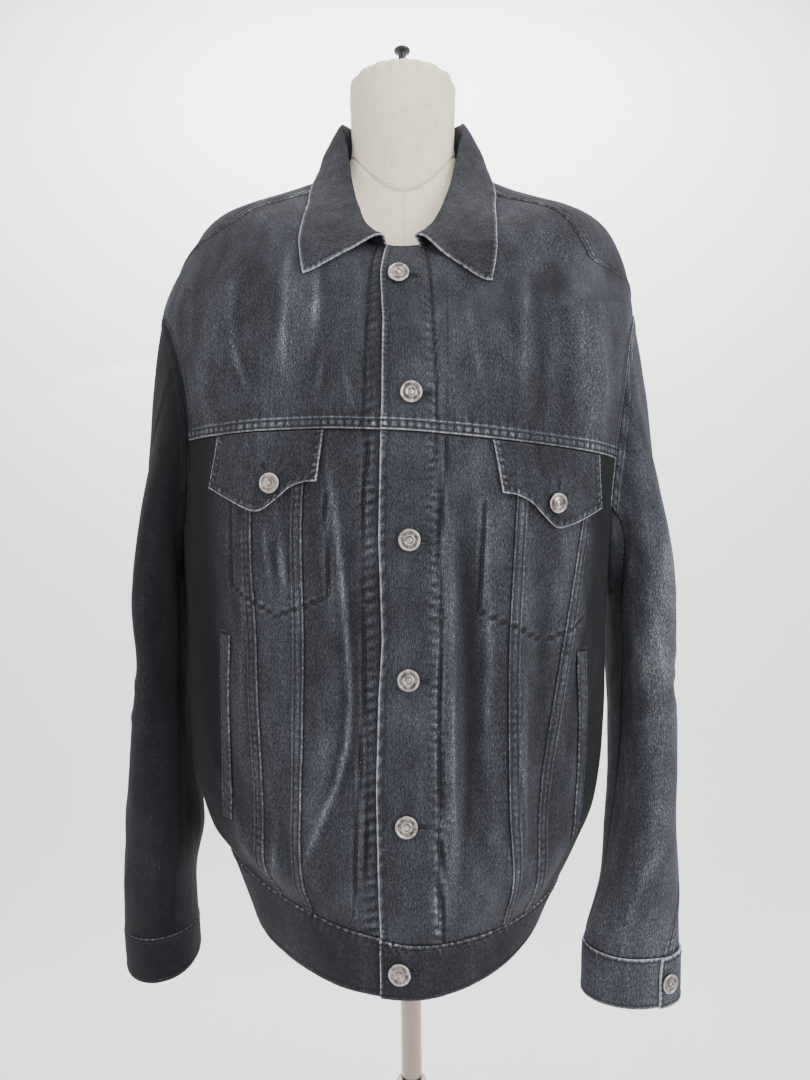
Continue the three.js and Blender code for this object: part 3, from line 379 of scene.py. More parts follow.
def body_folds(angle, v):
    height = np.zeros(np.broadcast(angle, v).shape)
    rows = zip(*[BODY_FOLDS[key] for key in ("fromAngle", "fromV", "toAngle", "toV", "width", "depth")])
    for from_angle, from_v, to_angle, to_v, width, depth in rows:
        turned = np.where((from_angle > 90) & (angle < 0), angle + 360, angle)
        start = (from_angle * GIRTH_PER_DEGREE, from_v)
        end = (to_angle * GIRTH_PER_DEGREE, to_v)
        height = height + fold_height(turned * GIRTH_PER_DEGREE, v, start, end, width, depth)
    return height


def unit(vectors):
    return vectors / np.maximum(np.linalg.norm(vectors, axis=-1, keepdims=True), 1e-9)


def surface_normal(surface, a, b, step_a, step_b):
    along_a = surface(a + step_a, b) - surface(a - step_a, b)
    along_b = surface(a, b + step_b) - surface(a, b - step_b)
    return unit(np.cross(along_a, along_b))


def plain_body(angle, v):
    return level_point(BODY_LEVELS, angle, v)


def body_point(angle, v):
    lift = body_folds(angle, v)
    return plain_body(angle, v) + surface_normal(plain_body, angle, v, 1, 2) * lift[..., None]


def body_normal(angle, v):
    return surface_normal(body_point, angle, v, 0.8, 2)


def armhole_spread(v):
    """How far the armhole reaches from the side line at a height, as an angle."""
    middle = (UNDERARM + SHOULDER_TIP) / 2
    cosine = np.clip((np.asarray(v, float) - middle) / (SHOULDER_TIP - middle), -1, 1)
    return ARMHOLE_SPREAD * (1 - cosine * cosine) ** 0.4


def front_seam(name, v):
    return read(FRONT_SEAMS, "v", np.clip(v, HEM, FRONT_YOKE_SEAM))[name]


def front_lift(angle):
    """How far the left front's cloth stands out of the body's surface at its facing. angle is signed."""
    return FACING_RISE * (1 - smoothstep(angle, FACING_EDGE - 3, FACING_EDGE))


def hidden_lift(angle):
    """The same for the right front, whose edge lies behind the left one."""
    hidden = FACING_RISE * smoothstep(-angle, -FACING_EDGE, 0) - OVERLAP_STEP
    return lerp(hidden, 0, smoothstep(-angle, 10, 24))


def hanging_point(side, turn, v):
    """Points of a hanging sleeve. turn is the share of the way round, from the outside over the front."""
    source = SLEEVE_RIGHT if side < 0 else SLEEVE_LEFT
    rows = {name: (-values if name == "v" else values) for name, values in source.items()}
    row = read(rows, "v", -np.asarray(v, float))
    sin, cos = np.sin(2 * math.pi * turn), np.cos(2 * math.pi * turn)
    corner = row["corner"]
    reach = (np.abs(cos / row["across"]) ** corner + np.abs(sin / row["deep"]) ** corner) ** (-1 / corner)
    z = v + row["rise"] - row["tilt"] * sin
    return np.stack([row["x"] + side * reach * cos, row["y"] - reach * sin, z + DATUM], axis=-1)


def twist(side, v):
    if side < 0:
        return np.zeros_like(np.asarray(v, float))
    return VENT_TURN_LEFT / RING * smoothstep(SLEEVE_TOP - np.asarray(v, float), 0, SLEEVE_TOP - CUFF_SEAM)


def armhole_point(side, ring):
    """Points round an armhole, from the shoulder tip down the front and up the back."""
    place = np.mod(ring, RING)
    half = RING / 2
    row = np.where(place <= half, half - place, place - half)
    v = np.interp(row, np.arange(len(ARMHOLE_ROWS)), ARMHOLE_ROWS)
    spread = armhole_spread(v)
    angle = side * np.where(place <= half, 90 - spread, 90 + spread)
    return body_point(angle, v)


def sleeve_start(side, ring):
    turn = 2 * math.pi * ring / RING
    top = np.maximum(np.cos(turn), 0) ** 2
    under = np.maximum(-np.cos(turn), 0) ** 2
    flank = 1 - top - under
    forward = np.sin(turn)
    outward = 52 * top + 80 * flank + 20 * under
    return np.stack([side * outward, -12 * forward * flank, -300 * top - 60 * flank - 40 * under], axis=-1)


def plain_sleeve(side, ring, step):
    """The sleeve's surface: places round it, and steps down it, first over the cap and then down the arm."""
    v = lerp(SLEEVE_TOP, CUFF_SEAM, np.maximum(step - CAP_STEPS, 0) / SLEEVE_STEPS)
    hanging = hanging_point(side, ring / RING + twist(side, v), v)
    begin = armhole_point(side, ring)
    end = hanging_point(side, ring / RING, np.full_like(ring, SLEEVE_TOP))
    drop = np.linalg.norm(end - begin, axis=-1)
    t = np.clip(step / CAP_STEPS, 0, 1)[..., None]
    arriving = np.stack([0 * drop, 0 * drop, -np.minimum(1.2 * drop, 260)], axis=-1)
    cap = begin * (1 - 3 * t**2 + 2 * t**3) + sleeve_start(side, ring) * (t - 2 * t**2 + t**3)
    cap = cap + end * (3 * t**2 - 2 * t**3) + arriving * (t**3 - t**2)
    return np.where((step > CAP_STEPS)[..., None], hanging, cap)


SLEEVE_GIRTH = 420.0
SLEEVE_LENGTH = 650.0


def sleeve_folds(side, ring, v):
    source = SLEEVE_FOLDS_RIGHT if side < 0 else SLEEVE_FOLDS_LEFT
    eighth = SLEEVE_GIRTH / 8
    height = np.zeros(ring.shape)
    rows = zip(*[source[key] for key in ("fromTurn", "fromV", "toTurn", "toV", "width", "depth")])
    for from_turn, from_v, to_turn, to_v, width, depth in rows:
        start, end = (from_turn * eighth, from_v), (to_turn * eighth, to_v)
        height += fold_height(ring / RING * SLEEVE_GIRTH, v, start, end, width, depth)
    return height


EDGE_PLACES = np.array([0, 1.0, 2.2, 3.6, 5, 6.4, 7.8, 9, 10, 11.2, 13], float)
SPACING = 3.4  # usual distance between the points of a cloth's grid
BAND = 10.0  # width of a felled seam's doubled band
FELL_ROWS = (1.8, BAND - 1.8)  # the felled seam's rows of stitches, from its edge
ARMHOLE_SEAM_ROWS = (2.2, 8.4)
OPPOSITE = {"left": "right", "right": "left"}

# Where along its waves each seam starts, so that its two sides pucker alike.
SEAMS = {
    "inner": 11.0, "outer": 29.0, "side": 41.0, "band": 5.0, "front yoke": 17.0, "back yoke": 70.0,
    "armhole": 53.0, "neck": 61.0, "back left": 81.0, "back right": 93.0,
    "sleeve front": 19.0, "sleeve back": 7.0, "sleeve cap": 33.0, "cuff": 3.0,
}


def places(length, spacing=SPACING):
    """Places along a length, from 0 to 1, closer together near its two ends, where the seams are."""
    last = length - EDGE_PLACES[::-1]
    count = max(int((last[0] - EDGE_PLACES[-1]) / spacing), 1)
    middle = np.linspace(EDGE_PLACES[-1], last[0], count + 1)[1:-1]
    return np.concatenate([EDGE_PLACES, middle, last]) / length


def rumple(points, size, seed):
    """Smooth noise on points, in bumps of a size in millimetres that are longer up and down."""
    flat = points.reshape(-1, 3) * (1 / size, 1 / size, 0.45 / size) + seed
    return np.array([noise.noise(Vector(p)) for p in flat]).reshape(points.shape[:-1])


def blurred(values, reach):
    """A grid of values, each replaced by the mean of those round it."""
    padded = np.pad(values, reach, mode="edge")
    for axis in (0, 1):
        total = np.cumsum(np.insert(padded, 0, 0, axis=axis), axis=axis)
        high = np.take(total, np.arange(2 * reach + 1, total.shape[axis]), axis=axis)
        low = np.take(total, np.arange(0, total.shape[axis] - 2 * reach - 1), axis=axis)
        padded = (high - low) / (2 * reach + 1)
    return padded


class Panel:
    """A piece of cloth: a grid of points with normals, and each point's way to the four edges."""

    def __init__(self, points, normals, relief=0.0):
        self.points = points
        self.normals = normals
        across = np.linalg.norm(np.diff(points, axis=1), axis=-1)
        up = np.linalg.norm(np.diff(points, axis=0), axis=-1)
        self.left = np.pad(np.cumsum(across, axis=1), ((0, 0), (1, 0)))
        self.bottom = np.pad(np.cumsum(up, axis=0), ((1, 0), (0, 0)))
        self.right = self.left[:, -1:] - self.left
        self.top = self.bottom[-1:, :] - self.bottom
        self.lift = np.zeros(self.left.shape)
        # Each point's worn paleness, painted highlight and painted shade.
        self.wear = np.zeros(self.left.shape)
        self.relief = relief + self.lift
        self.angle = self.height = None

    def along(self, edge):
        """The measure that runs along an edge."""
        return self.bottom if edge in ("left", "right") else self.left

    def surface(self):
        return self.points + self.normals * self.lift[..., None]

    def line(self, edge, distance, low, high):
        """The line at a distance from an edge, with its normals, between two measures along the edge."""
        upright = edge in ("left", "right")
        turn = (lambda grid: grid) if upright else (lambda grid: np.swapaxes(grid, 0, 1))
        measure, along = turn(getattr(self, edge)), turn(self.along(edge))
        surface, normals = turn(self.surface()), turn(self.normals)
        found = []
        for m, a, p, n in zip(measure, along, surface, normals):
            if edge in ("right", "top"):
                m, a, p, n = m[::-1], a[::-1], p[::-1], n[::-1]
            if m[-1] < distance or not low <= np.interp(distance, m, a) <= high:
                continue
            at = [np.interp(distance, m, column) for column in (*p.T, *n.T)]
            found.append(at)
        found = np.array(found).reshape(-1, 6)
        return found[:, :3], found[:, 3:]


def pucker(along, across, pitch=7.2, slant=0.12):
    """Waves along a seam that is drawn up by its thread: uneven in length and height, with narrow hollows."""
    wander = 1.5 * np.sin(along / 31.0) + 0.9 * np.sin(along / 13.7 + 1.3)
    uneven = 0.72 + 0.28 * np.sin(along / 23.0 + 1) * np.sin(along / 9.1)
    waves = np.sin(2 * math.pi * (along + slant * across) / pitch + wander)
    return uneven * (1 - 2 * (0.5 - 0.5 * waves) ** 1.7)


def fell(panel, edge, seam, strength, edge_wear=0.45):
    """Gives an edge the doubled band of a felled seam, puckered between its two rows of stitches, with its
    folded edges worn pale, painted highlight and shade on its puckers, and painted shade in the grooves of
    its rows.
    """
    distance = getattr(panel, edge)
    waves = pucker(panel.along(edge) + SEAMS[seam], distance)
    inside = 1 - smoothstep(distance, BAND - 0.5, BAND + 0.9)
    between = bell(distance - BAND / 2, 2.6)
    outside = smoothstep(distance, BAND - 0.5, BAND + 1) * np.exp(-np.maximum(distance - BAND, 0) / 5)
    rows = sum(bell(distance - place, 0.9) for place in (1.9, BAND - 1.9))
    panel.lift += inside * (1.0 + 0.5 * strength * between * waves) - 0.35 * rows
    panel.lift += 0.38 * strength * outside * waves
    # Painted highlight and shade on the puckers, partly worn paleness, and painted shade in the rows'
    # grooves.
    panel.wear += strength * (between * 0.42 * waves + 0.20 * outside * waves) + 0.06 * inside - 0.22 * rows
    panel.wear += edge_wear * bell(distance - 0.5, 0.8) * (0.92 + 0.08 * waves)
    panel.wear += 0.5 * edge_wear * bell(distance - BAND, 0.8) * (0.7 + 0.3 * waves)


def meet(panel, edge, seam, strength=0.6):
    """The plain side of a felled seam: the cloth dips to it and picks up its puckers, with painted highlight
    and shade on them, painted shade near the seam and a painted shadow line where the band overlaps.
    """
    distance = getattr(panel, edge)
    waves = pucker(panel.along(edge) + SEAMS[seam], distance)
    near = np.exp(-distance / 5)
    panel.lift += near * (0.36 * strength * waves - 0.3)
    panel.wear += near * (0.24 * strength * waves - 0.12) - 0.6 * bell(distance, 1.4)


def worn_edge(panel, edge, strength=1.0, turn=6.0):
    """A folded free edge, worn pale, with the shallow groove of its row of stitches and painted highlight and
    shade on the puckers beside it.
    """
    distance = getattr(panel, edge)
    waves = pucker(panel.along(edge) * 1.3, distance, 6.5, 0.3)
    panel.wear += strength * 0.75 * bell(distance, 1.5) * (0.94 + 0.06 * waves)
    panel.lift += 0.25 * bell(distance, 3.0) * waves - 0.3 * bell(distance - turn, 1.1)
    panel.wear += 0.22 * strength * bell(distance - turn + 2.6, 1.8) * waves


def rub_and_shade_relief(panel):
    """Lightens the ridges, partly worn pale and partly a painted highlight, and darkens the hollows with
    painted shade.
    """
    relief = panel.relief + panel.lift
    fine = panel.lift - blurred(panel.lift, 2)
    broad = relief - blurred(relief, 7)
    panel.wear += np.clip(0.26 * fine, -0.25, 0.14) + np.clip(0.065 * broad, -0.26, 0.09)


def crease_height(angle, v):
    """The body's fine creases at angles and heights, and how far their ridges are lightened, partly worn pale
    and partly a painted highlight.
    """
    height = np.zeros(np.broadcast(angle, v).shape)
    ridge_rub_and_highlight = height.copy()
    for number, (width, depth, points) in enumerate(CREASES):
        x, y = angle * GIRTH_PER_DEGREE, v
        best = np.full(height.shape, FAR)
        share = np.zeros(height.shape)
        spans = len(points) - 1
        for k in range(spans):
            start = (points[k][0] * GIRTH_PER_DEGREE, points[k][1])
            end = (points[k + 1][0] * GIRTH_PER_DEGREE, points[k + 1][1])
            distance, along = line_distance(x, y, start, end)
            closer = distance < best
            best = np.where(closer, distance, best)
            share = np.where(closer, (k + along) / spans, share)
        uneven = (1 + 0.25 * np.sin(9 * share + number)) * np.sin(math.pi * lerp(0.06, 0.94, share))
        height += 0.72 * depth * uneven * bell(best, width)
        ridge_rub_and_highlight += 0.1 * max(depth, 0) * uneven * bell(best, 1.4)
    return height, ridge_rub_and_highlight


def press_rows(panel):
    """Sinks the rows of stitches on the fronts, with painted shade along their groove and a painted highlight
    beside it.
    """
    for row in FRONT_ROWS:
        if row[0][0] * panel.angle.mean() < 0:
            continue
        nearest = np.full(panel.angle.shape, FAR)
        for start, end in zip(row, row[1:]):
            ends = [(angle * GIRTH_PER_DEGREE, v) for angle, v in (start, end)]
            distance, _ = line_distance(panel.angle * GIRTH_PER_DEGREE, panel.height, *ends)
            nearest = np.minimum(nearest, distance)
        panel.lift -= 0.35 * bell(nearest, 1.2)
        panel.wear -= 0.45 * bell(nearest, 1.1) - 0.2 * bell(nearest - 2.6, 1.3)


def body_panel(low, high, bottom, top, lift=None, extra=()):
    """A panel on the body between two side edges, which give their angles at a height."""
    v = lerp(bottom, top, places(top - bottom))
    v = np.unique(np.concatenate([v, [at for at in extra if bottom < at < top]]))
    middle = np.array([(bottom + top) / 2])
    width = abs(float(high(middle)[0] - low(middle)[0])) * GIRTH_PER_DEGREE
    share = places(max(width, 30))
    heights = np.repeat(v[:, None], len(share), axis=1)
    angles = lerp(low(v)[:, None], high(v)[:, None], share[None, :])
    normals = body_normal(angles, heights)
    points = body_point(angles, heights)
    if lift is not None:
        points = points + normals * lift(angles)[..., None]
    panel = Panel(points, normals, body_folds(angles, heights))
    panel.angle, panel.height = angles, heights
    creases, ridge_rub_and_highlight = crease_height(angles, heights)
    panel.lift += CLOTH / 2 + creases
    panel.wear += ridge_rub_and_highlight
    panel.lift += 0.9 * rumple(points, 38.0, 3.1) + 0.35 * rumple(points, 13.0, 8.7)
    return panel


def cloth_piece(name, node, panel, tone=0.0, thickness=CLOTH):
    """A panel as a thin shell of cloth that stands for a solid."""
    rows, columns = panel.left.shape
    grid = bmesh.new()
    bmesh.ops.create_grid(grid, x_segments=columns - 1, y_segments=rows - 1, size=1.0)
    mesh = bpy.data.meshes.new(name)
    grid.to_mesh(mesh)
    grid.free()
    flat = np.empty(len(mesh.vertices) * 3)
    mesh.vertices.foreach_get("co", flat)
    flat = flat.reshape(-1, 3)
    column = np.rint((flat[:, 0] + 1) / 2 * (columns - 1)).astype(int)
    row = np.rint((flat[:, 1] + 1) / 2 * (rows - 1)).astype(int)
    surface = panel.surface() * MM
    mesh.vertices.foreach_set("co", surface[row, column].ravel())
    # wear: worn pale edges and ridges, painted highlights and painted shade; tone: each piece's even shift,
    # partly painted light and shade.
    for key, values in (("wear", panel.wear), ("tone", np.full(panel.wear.shape, tone))):
        layer = mesh.attributes.new(key, "FLOAT", "POINT")
        layer.data.foreach_set("value", values[row, column])
    corner = np.empty(len(mesh.loops), dtype=np.int32)
    mesh.loops.foreach_get("vertex_index", corner)
    across = panel.left if panel.angle is None else panel.angle * GIRTH_PER_DEGREE
    weave = np.stack([across[row, column], panel.bottom[row, column]], axis=-1)[corner] * MM
    mesh.uv_layers.new(name="cloth").data.foreach_set("uv", weave.ravel())
    mesh.shade_smooth()
    piece = bpy.data.objects.new(name, mesh)
    bpy.context.scene.collection.objects.link(piece)
    shell = piece.modifiers.new("thickness", "SOLIDIFY")
    shell.thickness = thickness * MM
    shell.offset = -1.0
    piece.data.materials.append(material("washed_black_denim", denim))
    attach(piece, "root")
    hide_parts(node)
    PANELS[node] = panel


THREAD_WIDTH = 0.8
THREAD_HEIGHT = 0.55
PANELS = {}  # each cloth piece's panel, by the name of its node
THREADS = {"body": [], "sleeves": [], "pockets": [], "trims": []}  # rows of stitches: points and normals


def stitch(group, panel, edge, *distances, low=0.0, high=FAR):
    """Notes rows of stitches at distances from a panel's edge."""
    for distance in distances:
        THREADS[group].append(panel.line(edge, distance, low, high))


def steady(angle):
    """An upright line at one angle, as a function of the height."""
    return lambda v: np.full(np.shape(v), angle)


def front_edges(side):
    """The lines that cut one front, as functions of the height, from the opening to the side."""
    near = lap_edge if side > 0 else steady(FACING_EDGE)
    inner, outer = ("innerLeft", "outerLeft") if side > 0 else ("innerRight", "outerRight")
    return (near, lambda v: side * front_seam(inner, v), lambda v: side * front_seam(outer, v),
            lambda v: side * side_line(side, v, -1))


def side_line(side, v, way):
    """The angle of the armhole's front (way -1) or back (1) edge, and above it of the shoulder seam."""
    angle, low, high = SHOULDER_SEAMS[side]
    return np.where(v > SHOULDER_TIP, lerp(90, angle, smoothstep(v, low, high)), 90 + way * armhole_spread(v))


def lap_edge(v):
    """The left front's free edge, which wanders a little."""
    return np.interp(v, [-380, -334, -210, -136, -88, -6, 122, 260, 330, 386],
                     [-9.6, -9.4, -10.2, -9.4, -8.2, -9.0, -7.8, -8.0, -9.6, -9.0])


# Heights near an armhole's ends, where its edge bends fast and the grid needs rows.
ARMHOLE_EXTRA = [end + way * step for end, way in ((UNDERARM, 1), (SHOULDER_TIP, -1))
                 for step in (0, 0.4, 1, 2, 3.6, 5.6, 8, 11)]
SHOULDER_START = 22.0  # how far above the armhole's stitches the shoulder seam's rows begin
BAND_LENGTH = 1180.0
BAND_CLOTH = 2.6
CUFF_CLOTH = 2.2


def facing_distance(panel, side):
    """How far a front's points lie outwards of its facing's stitched line."""
    line = FACING_EDGE - 1.5 if side > 0 else -13.4
    return (panel.angle - line) * side * 2.8


def facing_waves(panel, facing):
    return pucker(panel.bottom, facing, 9.5, 0.4)


def lap_front(panel, side):
    """The left front's free edge, with its row of stitches. The right front's is hidden."""
    if side > 0:
        worn_edge(panel, "left", 1.2)
        stitch("body", panel, "left", 6.0)


def make_fronts():
    """The eight panels of the two fronts, from the opening outwards, and their seams."""
    for side, name in SIDES:
        edges = front_edges(side)
        near, far = ("left", "right")[::side]
        lift = front_lift if side > 0 else hidden_lift
        # The right front is painted a little darker and the side panels more, as painted shade; the yokes are
        # painted lighter.
        tone = 0.0 if side > 0 else -0.03

        def cut(first, last, *limits):
            return body_panel(*(edges[k] for k in (first, last)[::side]), *limits)

        centre = cut(0, 1, BAND_SEAM, FRONT_YOKE_SEAM, lift)
        for edge, seam in ((far, "inner"), ("bottom", "band"), ("top", "front yoke")):
            meet(centre, edge, seam)
        facing = facing_distance(centre, side)
        waves = facing_waves(centre, facing)
        # Painted highlight and shade on the facing's puckers, painted shade in the groove of its stitched
        # line and a painted highlight beside it.
        centre.lift += 0.4 * bell(facing, 7) * waves - 0.4 * bell(facing, 1.1)
        centre.wear += 0.26 * bell(facing + 5, 5) * waves - 0.5 * bell(facing, 1.1)
        centre.wear += 0.15 * bell(facing - 2.4, 1.3)
        lap_front(centre, side)
        press_rows(centre)
        rub_and_shade_relief(centre)
        cloth_piece(f"cloth_front_centre_{name}", f"front_centre_{name}", centre, tone)

        for part, first, near_seam, far_seam, strength, edge_wear, extra, darker in (
                ("middle", 1, "inner", "outer", 0.35, 0.45, (), 0.0),
                ("side", 2, "outer", "side", 0.45, 0.55, ARMHOLE_EXTRA, 0.1)):
            panel = cut(first, first + 1, BAND_SEAM, FRONT_YOKE_SEAM, None, extra)
            fell(panel, near, near_seam, strength, edge_wear)
            press_rows(panel)
            if part == "side":
                # Painted shade on the side panel where it turns in under the sleeve.
                panel.wear -= 0.55 * smoothstep(np.abs(panel.angle), 55, 63)
            for edge, seam in ((far, far_seam), ("bottom", "band"), ("top", "front yoke")):
                meet(panel, edge, seam)
            rub_and_shade_relief(panel)
            stitch("body", panel, near, *FELL_ROWS)
            cloth_piece(f"cloth_front_{part}_{name}", f"front_{part}_{name}", panel, tone - darker)

        yoke = cut(0, 3, FRONT_YOKE_SEAM, NECKLINE + 2.6, lift, ARMHOLE_EXTRA)
        fell(yoke, "bottom", "front yoke", 0.85, 0.8)
        meet(yoke, far, "armhole")
        meet(yoke, "top", "neck", 0.5)
        facing = facing_distance(yoke, side)
        # Painted shade in the groove of the facing's stitched line, and painted highlight and shade on its
        # puckers.
        yoke.lift -= 0.4 * bell(facing, 1.1)
        yoke.wear -= 0.4 * bell(facing, 1.1)
        yoke.wear += 0.2 * bell(facing + 5, 5) * facing_waves(yoke, facing)
        lap_front(yoke, side)
        rub_and_shade_relief(yoke)
        stitch("body", yoke, "bottom", *FELL_ROWS)
        shoulder = SHOULDER_TIP - FRONT_YOKE_SEAM
        stitch("body", yoke, far, FELL_ROWS[0], low=shoulder + SHOULDER_START)
        stitch("sleeves", yoke, far, *ARMHOLE_SEAM_ROWS, high=shoulder)
        cloth_piece(f"cloth_front_yoke_{name}", f"front_yoke_{name}", yoke, tone + 0.05)


def make_back():
    """The back's yoke, middle and two sides."""
    left_side, right_side = (lambda v: side_line(1, v, 1)), (lambda v: 360 - side_line(-1, v, 1))
    yoke = body_panel(left_side, right_side, BACK_YOKE_SEAM, NECKLINE, None, ARMHOLE_EXTRA)
    fell(yoke, "bottom", "back yoke", 0.85, 0.8)
    shoulder = SHOULDER_TIP - BACK_YOKE_SEAM
    for edge in ("left", "right"):
        fell(yoke, edge, "armhole", 0.5)
        stitch("body", yoke, edge, *FELL_ROWS, low=shoulder + SHOULDER_START)
        stitch("sleeves", yoke, edge, *ARMHOLE_SEAM_ROWS, high=shoulder)
    meet(yoke, "top", "neck", 0.5)
    rub_and_shade_relief(yoke)
    stitch("body", yoke, "bottom", *FELL_ROWS)
    cloth_piece("cloth_back_yoke", "back_yoke", yoke, -0.05)

    middle = body_panel(steady(BACK_SEAM), steady(BACK_TURN), BAND_SEAM, BACK_YOKE_SEAM)
    seams = {"left": "back left", "right": "back right", "bottom": "band", "top": "back yoke"}
    for edge, seam in seams.items():
        meet(middle, edge, seam)
    rub_and_shade_relief(middle)
    cloth_piece("cloth_back_centre", "back_centre", middle)

    for side, name in SIDES:
        edges = (left_side, steady(BACK_SEAM)) if side > 0 else (steady(BACK_TURN), right_side)
        far, near = ("left", "right")[::side]
        panel = body_panel(*edges, BAND_SEAM, BACK_YOKE_SEAM, None, ARMHOLE_EXTRA)
        fell(panel, near, f"back {name}", 0.45)
        fell(panel, far, "side", 0.4)
        # Painted shade towards the side seam, under the arm.
        panel.wear -= 0.45 * (1 - smoothstep(getattr(panel, far), 30, 150))
        meet(panel, "bottom", "band")
        meet(panel, "top", "back yoke")
        rub_and_shade_relief(panel)
        stitch("body", panel, near, *FELL_ROWS)
        stitch("body", panel, far, *FELL_ROWS, high=UNDERARM - BAND_SEAM)
        cloth_piece(f"cloth_back_side_{name}", f"back_side_{name}", panel, -0.06)


def strip_edges(panel, *edges):
    """Wears a doubled strip's edges and stitches along them. Each has its strength and its row's place."""
    for edge, strength, _ in edges:
        worn_edge(panel, edge, strength, 3.0)
    rub_and_shade_relief(panel)
    for edge, _, row in edges:
        stitch("trims", panel, edge, row)


def make_waistband():
    """The waistband, from the left front's free edge round the back to the right front's hidden edge."""
    share = places(BAND_LENGTH, 3.2)
    angle = lerp(lap_edge(HEM), 360 + FACING_EDGE, share)
    v = np.linspace(HEM, BAND_SEAM, 20)
    angles, heights = np.broadcast_arrays(angle[None, :], v[:, None])
    signed = np.where(angles > 180, angles - 360, angles)
    normals = body_normal(signed, heights)
    under = np.where(angles > 270, hidden_lift(signed), 0) + np.where(angles < 90, front_lift(signed), 0)
    points = body_point(signed, heights) + normals * under[..., None]
    panel = Panel(points, normals, body_folds(signed, heights))
    panel.lift += CLOTH / 2 + 1.0 + 0.8 * rumple(points, 34.0, 5.5) + 0.3 * rumple(points, 12.0, 1.7)
    waves = pucker(panel.left, panel.top, 8.0, -0.6)
    panel.lift += 0.35 * bell(panel.top, 8) * waves
    # Painted highlight and shade on the puckers below the top seam.
    panel.wear += 0.22 * bell(panel.top, 8) * waves
    strip_edges(panel, ("bottom", 0.55, 3.0), ("top", 0.6, 3.6), ("left", 1.2, 3.0))
    cloth_piece("cloth_waistband", "waistband", panel, -0.28, BAND_CLOTH)


def sleeve_part(side, first, last):
    """A strip of a sleeve between two places round it, from the cuff up to the armhole."""
    end = CAP_STEPS + SLEEVE_STEPS
    ring = lerp(first, last, places((last - first) / RING * SLEEVE_GIRTH))
    step = lerp(end, 0, places(SLEEVE_LENGTH))
    rings, steps = np.broadcast_arrays(ring[None, :], step[:, None])
    points = plain_sleeve(side, rings, steps)
    across = plain_sleeve(side, rings + 0.3, steps) - plain_sleeve(side, rings - 0.3, steps)
    down = plain_sleeve(side, rings, steps + 0.1) - plain_sleeve(side, rings, np.maximum(steps - 0.1, 0))
    normals = unit(np.cross(across, down)) * side
    fade = smoothstep(steps, 0, 2) * (1 - smoothstep(steps, end - 2, end))
    folds = fade * sleeve_folds(side, np.mod(rings, RING), points[..., 2] - DATUM)
    relief = folds + fade * sleeve_creases(side, rings, points[..., 2] - DATUM)
    points = points + normals * relief[..., None]
    if side > 0:
        points, normals, relief = points[:, ::-1], normals[:, ::-1], relief[:, ::-1]
    panel = Panel(points, normals, relief)
    panel.lift += CLOTH / 2 + 0.9 * rumple(points, 30.0, 11.0 + side) + 0.35 * rumple(points, 12.0, 4.0)
    return panel


# Fine creases of the sleeves: width, depth and the places that each runs through (eighths round, height).
ELBOW_CREASES = [
    (5, 1.4, [(0.4, -60), (1.6, -110)]),
    (5, 1.5, [(0.6, -100), (2.0, -150)]),
    (5, 1.2, [(1.2, -160), (2.4, -190)]),
    (5, 1.4, [(5.2, -60), (6.6, -120)]),
    (5, 1.4, [(5.0, -120), (6.4, -170)]),
    (7, -1.6, [(7.2, 60), (7.0, -60), (7.3, -180)]),
]
SLEEVE_CREASES = {
    -1: [
        (4.5, 1.7, [(1.1, 184), (1.0, 144), (0.9, 73), (0.9, -8), (0.8, -87)]),
        (5, 1.3, [(1.9, 150), (2.1, 40), (2.3, -60)]),
        (5, 1.2, [(1.0, -230), (1.5, -320), (1.2, -385)]),
        *ELBOW_CREASES,
    ],
    1: [
        (4.5, 1.6, [(1.4, 216), (1.6, 125), (1.8, 32), (1.8, -35)]),
        (5, 1.4, [(2.5, 120), (2.3, 10), (2.6, -90)]),
        (4.5, 1.5, [(0.8, -290), (1.1, -390)]),
        (5, 1.3, [(1.6, -220), (1.9, -330)]),
        *ELBOW_CREASES,
    ],
}


def sleeve_creases(side, ring, v):
    height = np.zeros(ring.shape)
    eighth = SLEEVE_GIRTH / 8
    x = np.mod(ring, RING) / RING * SLEEVE_GIRTH
    for width, depth, points in SLEEVE_CREASES[side]:
        for (turn_a, v_a), (turn_b, v_b) in zip(points, points[1:]):
            height += fold_height(x, v, (turn_a * eighth, v_a), (turn_b * eighth, v_b), width, depth)
    return height


def make_sleeves():
    """The upper and under pieces of both sleeves."""
    front, back = UNDER_SLEEVE
    # The left sleeve, on the lit side, is painted lighter and the right sleeve painted darker: painted light
    # and painted shade.
    for side, name, tone in ((1, "left", 0.26), (-1, "right", -0.52)):
        for part, first, last in (("under", front, back), ("upper", back - RING, front)):
            panel = sleeve_part(side, first, last)
            fell_edge = "left" if side < 0 else "right"
            if part == "upper":
                meet(panel, OPPOSITE[fell_edge], "sleeve front")
                fell(panel, fell_edge, "sleeve back", 0.4)
                fell(panel, "top", "sleeve cap", 0.5, 0.5)
            else:
                meet(panel, fell_edge, "sleeve front")
                meet(panel, OPPOSITE[fell_edge], "sleeve back")
                meet(panel, "top", "sleeve cap")
            meet(panel, "bottom", "cuff")
            rub_and_shade_relief(panel)
            # Darker towards the armhole.
            panel.wear -= 0.2 * smoothstep(panel.bottom, 380, 560)
            if part == "upper":
                stitch("sleeves", panel, fell_edge, *FELL_ROWS)
            cloth_piece(f"cloth_sleeve_{part}_{name}", f"sleeve_{part}_{name}", panel, tone)


